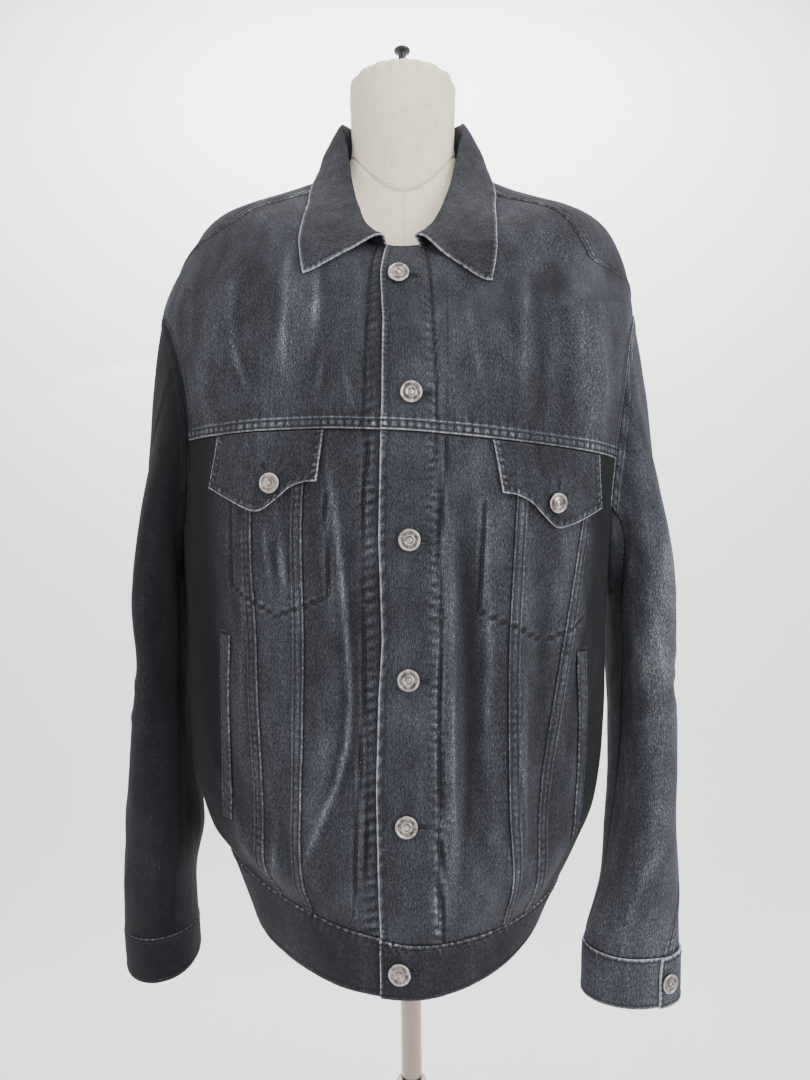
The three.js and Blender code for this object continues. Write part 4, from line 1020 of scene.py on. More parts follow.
def make_cuffs():
    """The cuffs, each a doubled strip that laps over its own start."""
    # The left cuff is painted lighter as light and the right cuff darker as shade, like the sleeves.
    for side, name, tone in ((1, "left", 0.2), (-1, "right", -0.5)):
        place = np.concatenate([np.linspace(0, RING - 3, 84), np.linspace(RING - 2.9, RING + CUFF_LAP, 34)])
        share = np.linspace(1, 0, 20)
        rings, shares = np.broadcast_arrays(place[None, :], share[:, None])
        turn = (UNDER_SLEEVE[1] + rings) / RING + twist(side, np.array(CUFF_SEAM))
        v = lerp(CUFF_SEAM, CUFF_HEM, shares)
        surface = partial(hanging_point, side)
        normals = surface_normal(surface, turn, v, 0.02, 2) * -side
        rise = LAP_RISE * smoothstep(rings, RING - 3, RING - 0.6)
        points = surface(turn, v) + normals * rise[..., None]
        if side > 0:
            points, normals = points[:, ::-1], normals[:, ::-1]
        panel = Panel(points, normals)
        panel.lift += 1.1 + 0.7 * rumple(points, 26.0, 6.0 + side) + 0.3 * rumple(points, 10.0, 2.0)
        waves = pucker(panel.left, panel.top, 8.0, -0.5)
        panel.lift += 0.35 * bell(panel.top, 7) * waves
        free = "right" if side < 0 else "left"
        strip_edges(panel, ("bottom", 0.6, 3.0), ("top", 0.9, 3.8), (free, 0.8, 3.0))
        cloth_piece(f"cloth_cuff_{name}", f"cuff_{name}", panel, tone, CUFF_CLOTH)


def collar_sections(side, index):
    """The collar's sections at places along its stations: up the stand, over the roll and down the fall."""
    stations = {**COLLAR_STATIONS, "index": np.arange(len(COLLAR_STATIONS["angle"]))}
    row = read(stations, "index", index)
    fade = side * (1 - smoothstep(row["angle"], 10, 90))
    top = np.full(index.shape, NECKLINE)
    neck = body_point(side * row["angle"], top)
    roll_x = side * (row["rollX"] + fade * COLLAR_SHIFT)
    roll = np.stack([roll_x, row["rollY"], row["rollZ"] + DATUM], axis=-1)
    edge_angle = side * (row["edgeAngle"] + fade * COLLAR_TURN)
    edge = body_point(edge_angle, row["edgeV"]) + 3.2 * body_normal(edge_angle, row["edgeV"])
    away = unit((edge - roll) * (1, 1, 0))
    inner = lerp(roll, neck, 0.14) - 2.2 * away
    outer = lerp(roll, edge, 0.08) + 3.4 * away
    stand = lerp(neck, roll, 0.5) - away
    foot = neck + COLLAR_FOOT * body_normal(side * row["angle"], top)
    foot[:, 2] -= 3.2
    fall = []
    sag = COLLAR_SAG[side] * (1 - smoothstep(row["angle"], 8, 30))
    for share in (0.3, 0.55, 0.8):
        point = lerp(roll, edge, share) + away * 7 * math.sin(math.pi * share)
        point[:, 2] -= sag * math.sin(math.pi * share**1.4)
        fall.append(clear_of_body(point, 4.0))
    return np.stack([foot, stand, inner, roll, outer, *fall, edge])


def clear_of_body(point, clearance):
    """Points moved straight out from the pole's line where the body is in their way."""
    angle = np.degrees(np.arctan2(point[:, 0], -point[:, 1]))
    low, high = np.full(len(point), HEM - 40), np.full(len(point), NECKLINE + 20)
    for _ in range(30):
        middle = (low + high) / 2
        below = body_point(angle, middle)[:, 2] < point[:, 2]
        low, high = np.where(below, middle, low), np.where(below, high, middle)
    body = body_point(angle, np.minimum((low + high) / 2, NECKLINE))
    need = np.hypot(body[:, 0], body[:, 1]) + clearance
    have = np.hypot(point[:, 0], point[:, 1])
    grow = np.where((have < need) & (point[:, 2] - DATUM < 330), need / have, 1.0)
    return point * np.stack([grow, grow, np.ones_like(grow)], axis=-1)


def smooth_through(knots, count):
    """Points on a smooth curve through knots, which lie along the first axis."""
    last = len(knots) - 1
    at = np.linspace(0, last, count)
    i = np.minimum(at.astype(int), last - 1)
    t = (at - i)[:, None, None]
    before, after = knots[np.maximum(i - 1, 0)], knots[np.minimum(i + 2, last)]
    a, b = knots[i], knots[i + 1]
    slope_a, slope_b = (b - before) / 2, (after - a) / 2
    rise = b - a
    return a + t * (slope_a + t * (3 * rise - 2 * slope_a - slope_b + t * (slope_a + slope_b - 2 * rise)))


def make_collar():
    """The collar's stand and fall in one sheet, from the left front end round the neck to the right one."""
    last = len(COLLAR_STATIONS["angle"]) - 1
    index = np.concatenate([np.linspace(0, 1, 14)[:-1], np.linspace(1, last, 100)])
    left = collar_sections(1, index)
    right = collar_sections(-1, index[:-1])[:, ::-1]
    points = smooth_through(np.concatenate([left, right], axis=1), 66)
    along = np.gradient(points, axis=1)
    up = np.gradient(points, axis=0)
    panel = Panel(points, unit(np.cross(along, up)))
    panel.lift += CLOTH / 2 + 0.5 * rumple(points, 24.0, 2.2) + 0.3 * rumple(points, 9.0, 7.7)
    for edge in ("top", "left", "right"):
        worn_edge(panel, edge, 1.1, 5.0)
        stitch("trims", panel, edge, 5.0)
    rub_and_shade_relief(panel)
    cloth_piece("cloth_collar", "collar", panel, -0.1)


def patch(angles, heights, lift):
    """A panel that lies on the body's surface, moved out from it."""
    normals = body_normal(angles, heights)
    creases, _ = crease_height(angles, heights)
    points = body_point(angles, heights) + normals * (creases * 0.8 + lift)[..., None]
    panel = Panel(points, normals, body_folds(angles, heights))
    panel.lift += CLOTH / 2
    panel.angle, panel.height = angles, heights
    return panel


def make_flaps():
    """The pointed flaps of the chest pockets."""
    for side, name in SIDES:
        flap = FLAPS[side]
        share = places(FLAP_WIDTH, 2.2)
        down = np.linspace(1, 0, 34)
        drop = read(FLAP_DROPS, "share", share)["drop"]
        shares, downs = np.broadcast_arrays(share[None, :], down[:, None])
        start = lerp(flap["inner"], flap["innerFoot"], downs)
        end = lerp(flap["outer"], flap["outerFoot"], downs)
        angles = side * lerp(start, end, shares)
        heights = FRONT_YOKE_SEAM - 2 - drop[None, :] * downs
        lift = CLOTH + 1.3 + 1.8 * downs
        if side < 0:
            angles, heights, lift = angles[:, ::-1], heights[:, ::-1], lift[:, ::-1]
        panel = patch(angles, heights, lift)
        panel.lift += 0.9 * downs * rumple(panel.points, 15.0, 21.0 + side)
        panel.lift += 0.3 * rumple(panel.points, 8.0, 5.0)
        x = (panel.angle * side - flap["button"]) * GIRTH_PER_DEGREE
        y = panel.height - flap["buttonV"]
        panel.lift -= 1.2 * np.exp(-((x / 9) ** 2) - ((y / 11) ** 2))
        for slant in (-1.1, -0.4, 0.35, 1.0):
            ray = np.abs(x - slant * (y - 4))
            panel.lift += 0.55 * bell(ray, 3.2) * smoothstep(y, 2, 9) * (1 - smoothstep(y, 16, 34))
        for edge in ("left", "right", "bottom"):
            # Painted highlight and shade on the puckers between the two rows of stitches.
            hollow = bell(getattr(panel, edge) - 4.3, 2.0)
            panel.wear += 0.3 * pucker(panel.along(edge), 0, 7.4) * hollow
            worn_edge(panel, edge, 1.1, 6.5)
            stitch("pockets", panel, edge, 1.8, 6.8)
        rub_and_shade_relief(panel)
        cloth_piece(f"cloth_flap_{name}", f"pocket_flap_{name}", panel, -0.06)


def make_welts():
    """The narrow strips of the slanted hand pockets."""
    for side, name in SIDES:
        share = np.linspace(0, 1, 70)
        middle = lerp(WELT["angleFoot"], WELT["angleTop"], share)
        across = np.linspace(-WELT["wide"] / 2, WELT["wide"] / 2, 9)
        angles = side * (middle[:, None] + across[None, :])
        if side < 0:
            angles = angles[:, ::-1]
        heights = np.repeat(lerp(WELT["foot"], WELT["top"], share)[:, None], 9, axis=1)
        panel = patch(angles, heights, np.full(angles.shape, CLOTH + 0.9))
        panel.lift += 0.25 * pucker(panel.bottom, panel.left, 9.0, 0.5)
        for edge in ("left", "right"):
            worn_edge(panel, edge, 0.4, 2.2)
            stitch("pockets", panel, edge, 1.6)
        rub_and_shade_relief(panel)
        cloth_piece(f"cloth_welt_{name}", f"welt_{name}", panel)


def add_block(shape, run, side, up, centre):
    """A small block, from its three edges as vectors and its middle, in millimetres."""
    columns = [[*values, last] for values, last in ((run, 0), (side, 0), (up, 0), (centre, 1))]
    bmesh.ops.create_cube(shape, size=1.0, matrix=Matrix.Scale(MM, 4) @ Matrix(columns).transposed())


def between(at, way, values):
    """Rows of values at places along a way."""
    return np.stack([np.interp(at, way, column) for column in values.T], axis=-1)


def sew(name, threads, length, gap):
    """Rows of stitches as one piece: a small bar for each stitch."""
    whole = bmesh.new()
    scratch = bpy.data.meshes.new("row")
    for points, normals in threads:
        if len(points) < 2:
            continue
        way = np.concatenate([[0], np.cumsum(np.linalg.norm(np.diff(points, axis=0), axis=1))])
        at = np.arange(0.5 * (length + gap), way[-1], length + gap)
        up = unit(between(at, way, normals))
        run = unit(between(at + 0.8, way, points) - between(at - 0.8, way, points))
        side = unit(np.cross(up, run))
        centre = between(at, way, points) + up * 0.25
        row = bmesh.new()
        for columns in zip(run * length, side * THREAD_WIDTH, up * THREAD_HEIGHT, centre):
            add_block(row, *columns)
        row.to_mesh(scratch)
        row.free()
        whole.from_mesh(scratch)
    finish_piece(name, whole, material("sewing_thread", thread), "denim")


def make_stitches():
    """Every row of stitches, in four pieces."""
    sizes = bpy.context.scene.jacket_sizes
    for row in FRONT_ROWS:
        THREADS["pockets"].append(on_front(1 if row[0][0] > 0 else -1, row))
    for group, threads in THREADS.items():
        sew(f"stitches_{group}", threads, sizes.stitch_length / MM, sizes.stitch_gap / MM)


def finish_piece(name, shape, look, slot, *nodes, smooth=False):
    """Makes a piece of the object from a bmesh, in its place, and hides the solids it stands for."""
    mesh = bpy.data.meshes.new(name)
    shape.to_mesh(mesh)
    shape.free()
    if smooth:
        mesh.shade_smooth()
    piece = bpy.data.objects.new(name, mesh)
    bpy.context.scene.collection.objects.link(piece)
    mesh.materials.append(look)
    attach(piece, "root")
    if nodes:
        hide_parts(*nodes)
    return piece


def on_front(side, spots, spacing=1.5):
    """A line over one front through spots (angle, height), on the cloth's finished surface."""
    name = dict(SIDES)[side]
    panels = [PANELS[f"front_{part}_{name}"] for part in ("centre", "middle", "side", "yoke")]
    angle = np.concatenate([panel.angle.ravel() for panel in panels])
    height = np.concatenate([panel.height.ravel() for panel in panels])
    surface = np.concatenate([panel.surface().reshape(-1, 3) for panel in panels])
    normals = np.concatenate([panel.normals.reshape(-1, 3) for panel in panels])
    spots = np.array(spots, float)
    steps = np.diff(spots, axis=0) * (GIRTH_PER_DEGREE, 1)
    way = np.concatenate([[0], np.cumsum(np.hypot(*steps.T))])
    at = np.linspace(0, way[-1], max(int(way[-1] / spacing), 2))
    found = []
    for a, v in between(at, way, spots):
        near = np.argsort(((angle - a) * GIRTH_PER_DEGREE) ** 2 + (height - v) ** 2)[:4]
        apart = np.hypot((angle[near] - a) * GIRTH_PER_DEGREE, height[near] - v)
        weight = 1 / (apart + 0.3)
        base = body_point(np.array([a]), np.array([v]))[0]
        ahead = body_point(angle[near], height[near])
        lift = ((surface[near] - ahead) * normals[near]).sum(axis=1)
        normal = unit((normals[near] * weight[:, None]).sum(axis=0))
        found.append([*(base + normal * (lift * weight).sum() / weight.sum()), *normal])
    found = np.array(found)
    return found[:, :3], found[:, 3:]


def along_cloth(angle, v):
    """A place on the finished front with its normal and the ways across and up the cloth."""
    side = 1 if angle > lap_edge(v) else -1
    points, normals = on_front(side, [(angle - 0.6, v), (angle + 0.6, v)], 4.0)
    normal = unit(normals.mean(axis=0))
    across = unit(points[-1] - points[0])
    return points.mean(axis=0), normal, across, np.cross(normal, across)


def satin_loop(rows, centre, normal, across, up):
    """The close stitches round a buttonhole: down its two sides and round its far end."""
    start, end = 4.0, 17.0
    inside, outside = 0.525, 2.6
    count = int((end - start) / 0.95)
    for sign in (1, -1):
        for k in range(count + 1):
            at = centre + across * lerp(start, end, k / count)
            rows.append((at + up * sign * inside, at + up * sign * outside, normal))
    for k in range(7):
        turn = math.pi * (k / 6 - 0.5)
        out = across * math.cos(turn) + up * math.sin(turn)
        at = centre + across * end
        rows.append((at + out * inside, at + out * outside, normal))


def make_buttonholes():
    """The worked buttonholes beside the front buttons and over the flaps' buttons, and the bartacks."""
    bars = []
    slit_shadows = []
    for place, (z, angle) in enumerate(zip(FRONT_BUTTONS["z"], FRONT_BUTTONS["angle"])):
        if FRONT_BUTTONS["name"][place] == "band":
            point, normal = button_seat("band")
            across, up = unit(np.cross([0, 0, 1.0], normal)), np.array([0, 0, 1.0])
            centre = point + normal * 1.2
        else:
            centre, normal, across, up = along_cloth(angle, level_at(angle, z))
        satin_loop(bars, centre + normal * 0.55, normal, across, up)
        slit_shadows.append((centre + across * 10.5 + normal * 0.85, across, up, normal))
    for side, name in SIDES:
        flap = FLAPS[side]
        place = (side * flap["button"], flap["buttonV"] + 3)
        point, normal, across, up = on_panel(PANELS[f"pocket_flap_{name}"], *place)
        satin_loop(bars, point + normal * 0.5, normal, up, across)
        slit_shadows.append((point + up * 10 + normal * 0.5, up, across, normal))
    for angle, v, upright in BARTACKS:
        centre, normal, across, up = along_cloth(angle, v)
        run, way = (up, across) if upright else (across, up)
        for k in range(13):
            at = centre + run * (k - 6) * 0.75 + normal * 0.2
            bars.append((at - way * 1.1, at + way * 1.1, normal))
    shape = bmesh.new()
    for start, end, normal in bars:
        run = end - start
        side = unit(np.cross(normal, run)) * THREAD_WIDTH
        add_block(shape, run, side, normal * 0.6, (start + end) / 2)
    finish_piece("buttonhole_stitches", shape, material("sewing_thread", thread), "denim")
    # A near-black block in each slit paints the shadow inside it.
    holes = bmesh.new()
    for centre, run, side, normal in slit_shadows:
        add_block(holes, run * 13.5, side * 2.5, normal * 0.8, centre)
    finish_piece("buttonhole_slits", holes, plain("buttonhole_shadow"), "denim")


def on_panel(panel, angle, v):
    """A place on a panel with its normal and the ways across and up."""
    near = np.argmin(((panel.angle - angle) * GIRTH_PER_DEGREE) ** 2 + (panel.height - v) ** 2)
    row, column = np.unravel_index(near, panel.angle.shape)
    surface = panel.surface()
    normal = unit(panel.normals[row, column])
    across = unit(surface[row, min(column + 2, surface.shape[1] - 1)] - surface[row, max(column - 2, 0)])
    return surface[row, column], normal, across, np.cross(normal, across)


def level_at(angle, z):
    """The side height of the level that crosses an angle at a height."""
    low, high = HEM - 40, NECKLINE + 20
    for _ in range(40):
        middle = (low + high) / 2
        if body_point(np.array([angle]), np.array([middle]))[0, 2] - DATUM < z:
            low = middle
        else:
            high = middle
    return (low + high) / 2


def button_seat(name):
    """Where a button sits and which way it faces, as its solid does."""
    if name.startswith("flap"):
        side = 1 if name.endswith("left") else -1
        flap = FLAPS[side]
        angle, v = np.array([side * flap["button"]]), np.array([flap["buttonV"]])
        normal = body_normal(angle, v)[0]
        return body_point(angle, v)[0] + normal * (CLOTH + 0.75 + 1.6 * 0.75 + CLOTH / 2 + 0.5), normal
    if name.startswith("cuff"):
        side = 1 if name.endswith("left") else -1
        turn = (UNDER_SLEEVE[1] + RING + 0.6) / RING + twist(side, np.array(CUFF_SEAM))
        v = np.array([lerp(CUFF_SEAM, CUFF_HEM, 0.5)])
        surface = partial(hanging_point, side)
        turn = np.array([float(turn)])
        normal = surface_normal(surface, turn, v, 0.02, 2)[0] * -side
        return surface(turn, v)[0] + normal * (LAP_RISE + 1.1), normal
    row = list(FRONT_BUTTONS["name"]).index(name)
    angle, z = float(FRONT_BUTTONS["angle"][row]), float(FRONT_BUTTONS["z"][row])
    v = level_at(angle, z)
    normal = body_normal(np.array([angle]), np.array([v]))[0]
    return body_point(np.array([angle]), np.array([v]))[0] + normal * (FACING_RISE + CLOTH / 2 + 0.1), normal


def spin_outline(shape, outline, steps, join):
    """Turns an outline, pairs of radius and height, all the way round Z."""
    points = [shape.verts.new((r, 0, z)) for r, z in outline]
    edges = [shape.edges.new(pair) for pair in zip(points, points[1:])]
    bmesh.ops.spin(shape, geom=points + edges, cent=(0, 0, 0), axis=(0, 0, 1), angle=2 * math.pi,
                   steps=steps, use_merge=True, use_duplicate=False)
    bmesh.ops.remove_doubles(shape, verts=shape.verts, dist=join)
    bmesh.ops.recalc_face_normals(shape, faces=shape.faces)


def make_buttons():
    """The ten metal buttons: a rolled rim, a plain ring, an inner ridge and a small domed middle."""
    names = [*FRONT_BUTTONS["name"], "flap_left", "flap_right", "cuff_left", "cuff_right"]
    radius = bpy.context.scene.jacket_sizes.button_radius / MM
    for name in names:
        point, normal = button_seat(name)
        small = 0.93 if name.startswith(("flap", "cuff")) else 1.0
        shape = bmesh.new()
        spin_outline(shape, [(r * radius, h) for r, h in BUTTON_OUTLINE], 44, 1e-4)
        # groove marks the button's low ring, where the metal paints shade.
        groove = shape.verts.layers.float.new("groove")
        for vert in shape.verts:
            vert[groove] = max(0.0, min(1.0, (2.75 - vert.co.z) / 0.5))
        turn = Vector((0, 0, 1)).rotation_difference(Vector(normal)).to_matrix().to_4x4()
        raised = Vector(point + normal * (0.5 + CLOTH * 0.35))
        place = Matrix.Scale(MM, 4) @ Matrix.Translation(raised) @ turn @ Matrix.Scale(small, 4)
        bmesh.ops.transform(shape, matrix=place, verts=shape.verts)
        finish_piece(f"tack_button_{name}", shape, metal("button"), "button_metal",
                     f"button_{name}", smooth=True)


# A button's outline, as share of the radius and height: the rim, the ring, the ridge and the dome.
BUTTON_OUTLINE = [
    (0.0, -0.4), (0.90, -0.4), (0.97, 0.1), (1.0, 1.1), (0.995, 2.1), (0.965, 2.8), (0.91, 3.15),
    (0.85, 3.05), (0.80, 2.6), (0.77, 2.35), (0.70, 2.3), (0.52, 2.35),
    (0.47, 2.5), (0.435, 2.8), (0.40, 2.85), (0.37, 2.6), (0.34, 2.3),
    (0.28, 2.25), (0.21, 2.4), (0.16, 2.75), (0.08, 2.95), (0.0, 3.0),
]


FORM_SEAM = 405.0  # the seam round the form's neck


def make_form():
    """The dress form: a padded torso under plain linen, closed, with its seams and gathered top."""
    low, high = FORM_LEVELS["v"][0], FORM_LEVELS["v"][-1]
    fine = [402.4, 403.6, 404.6, 405.4, 406.4, 407.6]
    shrunk = (0.0, 0.4, 0.75, 0.94)
    heights = sorted([*np.linspace(low, high - 26, 120), *np.linspace(high - 24.5, high, 24), *fine])
    caps = [(low, share) for share in shrunk], [(high, share) for share in shrunk[::-1]]
    rows = np.array([*caps[0], *[(v, 1.0) for v in heights], *caps[1]])
    sides = np.linspace(3, 180, 62)
    angles = np.array([*-sides[::-1], -1.6, -0.8, 0.0, 0.8, 1.6, *sides])
    columns = len(angles) - 1
    grid = bmesh.new()
    bmesh.ops.create_grid(grid, x_segments=columns, y_segments=len(rows) - 1, size=1.0)
    spots = np.array([((vert.co.x + 1) / 2, (vert.co.y + 1) / 2) for vert in grid.verts])
    row = np.rint(spots[:, 1] * (len(rows) - 1)).astype(int)
    angle = angles[np.rint(spots[:, 0] * columns).astype(int)]
    v, share = rows[row, 0], rows[row, 1]
    points = level_point(FORM_LEVELS, angle, v)
    out = unit(points * (1, 1, 0))
    turn = np.radians(angle)
    pleat = 1.1 * np.sin(turn * 19 + 2 * np.sin(turn * 3)) * smoothstep(v, high - 22, high - 6)
    line = np.maximum(bell(v - FORM_SEAM, 1.1), 0.6 * bell(angle, 1.0) * (v < FORM_SEAM))
    points = points + out * (pleat - 0.9 * line)[:, None]
    for k in np.unique(row):
        ring = row == k
        centre = points[ring].mean(axis=0)
        points[ring] = centre + (points[ring] - centre) * share[ring][:, None]
    for vert, point in zip(grid.verts, points):
        vert.co = Vector(point * MM)
    # The same seam mask paints shade into the seams' grooves.
    depth = grid.verts.layers.float.new("seam")
    for vert, value in zip(grid.verts, line):
        vert[depth] = float(value)
    bmesh.ops.remove_doubles(grid, verts=grid.verts, dist=2e-5)
    bmesh.ops.recalc_face_normals(grid, faces=grid.faces)
    cover = material("undyed_linen", linen)
    finish_piece("dress_form_cover", grid, cover, "linen", "dress_form", smooth=True)


def turned(name, outline, look, slot, node, steps=64):
    """A turned piece on the pole's line, from pairs of radius and height above the floor."""
    shape = bmesh.new()
    spin_outline(shape, [(r * MM, z * MM) for r, z in outline], steps, 1e-6)
    piece = finish_piece(name, shape, look, slot, node, smooth=True)
    edge = piece.modifiers.new("soft edges", "BEVEL")
    edge.width = 0.6 * MM
    edge.segments = 2
    edge.limit_method = "ANGLE"
    edge.angle_limit = math.radians(35)


STAND_GAP = 0.3  # between two parts of the stand that meet
POLE_JOINT = 524.0
FOOT_TOP = 24.0
STEM_LENGTH = 24.0

# Outlines of the stand's parts, as pairs of radius and height. The stem's heights count from the form's top,
# the knob's from the stem's top, the flange's from the form's foot, and the others' from the floor.
STEM_OUTLINE = [(0, 0.3), (9, 0.3), (9, 2.6), (5.5, 4.3), (5.5, STEM_LENGTH), (0, STEM_LENGTH)]
KNOB_OUTLINE = [(0, 0), (4, 0), (4, 7), (6, 7.6), (8.5, 8.6), (8.6, 10), (8.2, 11.2), (7, 12), (0, 12)]
FLANGE_OUTLINE = [(11, -12), (14, -9), (32, -6), (32, 0), (0, 0)]
SLEEVE_OUTLINE = [(14.5, 482), (18, 486), (18, 518), (15.5, POLE_JOINT), (0, POLE_JOINT)]
FOOT_OUTLINE = [(0, 0), (188, 0), (190, 2), (190, 9), (188.5, 12), (185, 14), (60, 14), (26, 15), (23, 20),
                (22, FOOT_TOP), (0, FOOT_TOP)]


def make_stand():
    """The knob on the form's top, the two tubes of the pole with their collar, and the round foot."""
    top = DATUM + FORM_LEVELS["v"][-1]
    flange = DATUM + FORM_LEVELS["v"][0] - STAND_GAP
    joint, foot = POLE_JOINT + STAND_GAP, FOOT_TOP + STAND_GAP
    steel = metal("steel")

    def raised(outline, height):
        return [(radius, height + z) for radius, z in outline]

    turned("knob_stem", raised(STEM_OUTLINE, top), steel, "steel", "knob_base", 40)
    turned("knob_cap", raised(KNOB_OUTLINE, top + STEM_LENGTH + STAND_GAP), plain("knob_black_plastic"),
           "knob_black", "knob", 40)
    tube = [(0, joint), (11, joint), *raised(FLANGE_OUTLINE, flange)]
    turned("pole_tube", tube, steel, "steel", "pole_upper")
    turned("pole_sleeve", [(0, foot), (14.5, foot), *SLEEVE_OUTLINE], steel, "steel", "pole_lower")
    turned("foot_disc", FOOT_OUTLINE, steel, "steel", "foot_plate", 96)


# Materials


def node(tree, kind, **settings):
    made = tree.nodes.new(kind)
    for key, value in settings.items():
        setattr(made, key, value)
    return made


def material(name, build):
    """The material of a name, which build makes from its nodes and its shader the first time."""
    found = bpy.data.materials.get(name)
    if found is None:
        found = bpy.data.materials.new(name)
        found.use_nodes = True
        build(found.node_tree, found.node_tree.nodes["Principled BSDF"])
    return found


def object_place(tree):
    return node(tree, "ShaderNodeTexCoord").outputs["Object"]


def finish(tree, shader, colour, **values):
    """Gives a shader its colour and its even values, whose names have _ for a space."""
    tree.links.new(colour, shader.inputs["Base Color"])
    for name, value in values.items():
        shader.inputs[name.replace("_", " ")].default_value = value


def shaded(colour, share):
    return [channel * share for channel in colour[:3]]


def texture(tree, source, scale, detail=2.0, turn=0.0, roughness=0.5):
    """Noise on a coordinate, stretched by a scale for each axis and turned about Z."""
    mapping = node(tree, "ShaderNodeMapping")
    mapping.inputs["Scale"].default_value = scale
    mapping.inputs["Rotation"].default_value[2] = math.radians(turn)
    tree.links.new(source, mapping.inputs["Vector"])
    grain = node(tree, "ShaderNodeTexNoise")
    grain.inputs["Scale"].default_value = 1.0
    grain.inputs["Detail"].default_value = detail
    grain.inputs["Roughness"].default_value = roughness
    tree.links.new(mapping.outputs["Vector"], grain.inputs["Vector"])
    return grain.outputs["Fac"]


def weigh(tree, start, *terms):
    """A sum of sockets, each less its middle and times a weight."""
    total = None
    for socket, middle, weight in terms:
        scaled = node(tree, "ShaderNodeMath", operation="MULTIPLY_ADD")
        scaled.inputs[1].default_value = weight
        scaled.inputs[2].default_value = -middle * weight + (start if total is None else 0.0)
        tree.links.new(socket, scaled.inputs[0])
        if total is not None:
            joined = node(tree, "ShaderNodeMath", operation="ADD")
            tree.links.new(total, joined.inputs[0])
            tree.links.new(scaled.outputs[0], joined.inputs[1])
            total = joined.outputs[0]
        else:
            total = scaled.outputs[0]
    return total


def ramp(tree, socket, *stops):
    colours = node(tree, "ShaderNodeValToRGB")
    elements = colours.color_ramp.elements
    while len(elements) < len(stops):
        elements.new(1.0)
    for element, (place, colour) in zip(elements, stops):
        element.position = place
        element.color = (*colour[:3], 1.0)
    tree.links.new(socket, colours.inputs["Fac"])
    return colours.outputs["Color"]


def attribute(tree, name):
    return node(tree, "ShaderNodeAttribute", attribute_name=name).outputs["Fac"]


def bump(tree, shader, height, distance, strength):
    relief = node(tree, "ShaderNodeBump")
    relief.inputs["Distance"].default_value = distance
    relief.inputs["Strength"].default_value = strength
    tree.links.new(height, relief.inputs["Height"])
    tree.links.new(relief.outputs["Normal"], shader.inputs["Normal"])


def denim(tree, shader):
    """Washed black twill: diagonal flecks, slubs and cloudy wash, lighter and darker where wear says so, with
    worn pale edges and ridges, painted highlights and painted shade, and each piece lightened or darkened by
    tone, partly as painted light and shade.
    """
    colours = bpy.context.scene.jacket_colours
    weave = node(tree, "ShaderNodeUVMap", uv_map="cloth").outputs["UV"]
    place = object_place(tree)
    twill = texture(tree, weave, (1000, 260, 1), 3.0, 58.0, 0.6)
    grain = texture(tree, weave, (900, 900, 1))
    slub = texture(tree, weave, (420, 40, 1))
    wash = texture(tree, place, (15, 15, 8), 4.0, 0.0, 0.55)
    cloud = texture(tree, place, (60, 60, 30), 3.0)
    wear, tone = attribute(tree, "wear"), attribute(tree, "tone")
    # Worn paleness with painted highlights and shade, and each piece's lightening and darkening, partly
    # painted light and shade.
    value = weigh(tree, 0.445, (wear, 0, 0.66), (tone, 0, 0.5), (twill, 0.5, 0.95), (grain, 0.5, 0.75),
                  (slub, 0.5, 0.22), (wash, 0.5, 0.42), (cloud, 0.5, 0.24))
    colour = ramp(tree, value, (0.0, shaded(colours.denim, 0.22)), (0.34, colours.denim),
                  (0.62, colours.washed), (0.8, shaded(colours.worn, 0.38)), (1.0, colours.worn))
    finish(tree, shader, colour, Roughness=0.88, Specular_IOR_Level=0.16, Sheen_Weight=0.04,
           Sheen_Roughness=0.6)
    threads = weigh(tree, 0.5, (twill, 0.5, 0.9), (grain, 0.5, 0.6), (slub, 0.5, 0.3))
    bump(tree, shader, threads, 0.0006, 0.7)


def thread(tree, shader):
    """Black sewing thread with a few worn, greyer stitches."""
    place = object_place(tree)
    stitches = texture(tree, place, (330, 330, 330), 1.0)
    patches = texture(tree, place, (45, 45, 45))
    value = weigh(tree, 0.3, (stitches, 0.5, 1.5), (patches, 0.5, 0.9))
    dyed = bpy.context.scene.jacket_colours.thread
    colour = ramp(tree, value, (0.0, (0.004, 0.004, 0.005)), (0.5, dyed), (1.0, (0.16, 0.17, 0.19)))
    finish(tree, shader, colour, Roughness=0.7)


def linen(tree, shader):
    """Undyed linen: a fine plain weave, a little uneven and yellowed."""
    colours = bpy.context.scene.jacket_colours
    place = object_place(tree)
    warp = texture(tree, place, (1500, 1500, 60))
    weft = texture(tree, place, (90, 90, 1500))
    cloud = texture(tree, place, (26, 26, 14), 4.0, 0.0, 0.6)
    specks = texture(tree, place, (160, 160, 160), 3.0, 0.0, 0.7)
    # The seam layer paints shade into the seams' grooves.
    value = weigh(tree, 0.56, (warp, 0.5, 0.7), (weft, 0.5, 0.7), (cloud, 0.5, 0.8), (specks, 0.5, 0.35),
                  (attribute(tree, "seam"), 0, -0.5))
    colour = ramp(tree, value, (0.0, shaded(colours.linen, 0.6)), (0.55, colours.linen),
                  (1.0, (0.97, 0.91, 0.78)))
    finish(tree, shader, colour, Roughness=0.82, Sheen_Weight=0.1)
    bump(tree, shader, weigh(tree, 0.5, (warp, 0.5, 0.8), (weft, 0.5, 0.8), (specks, 0.5, 0.5)), 0.0003, 0.6)


# Each metal's patina_and_reflection and scratches as the scales of their noise, how far the first shows, and
# the roughness. On the buttons that noise is a tarnish; on the stand it is stretched upright into streaks of
# painted reflection.
METALS = {
    "button": ((240, 240, 240), (900, 900, 900), 1.6, 0.3),
    "steel": ((30, 30, 6), (700, 700, 20), 0.4, 0.14),
}


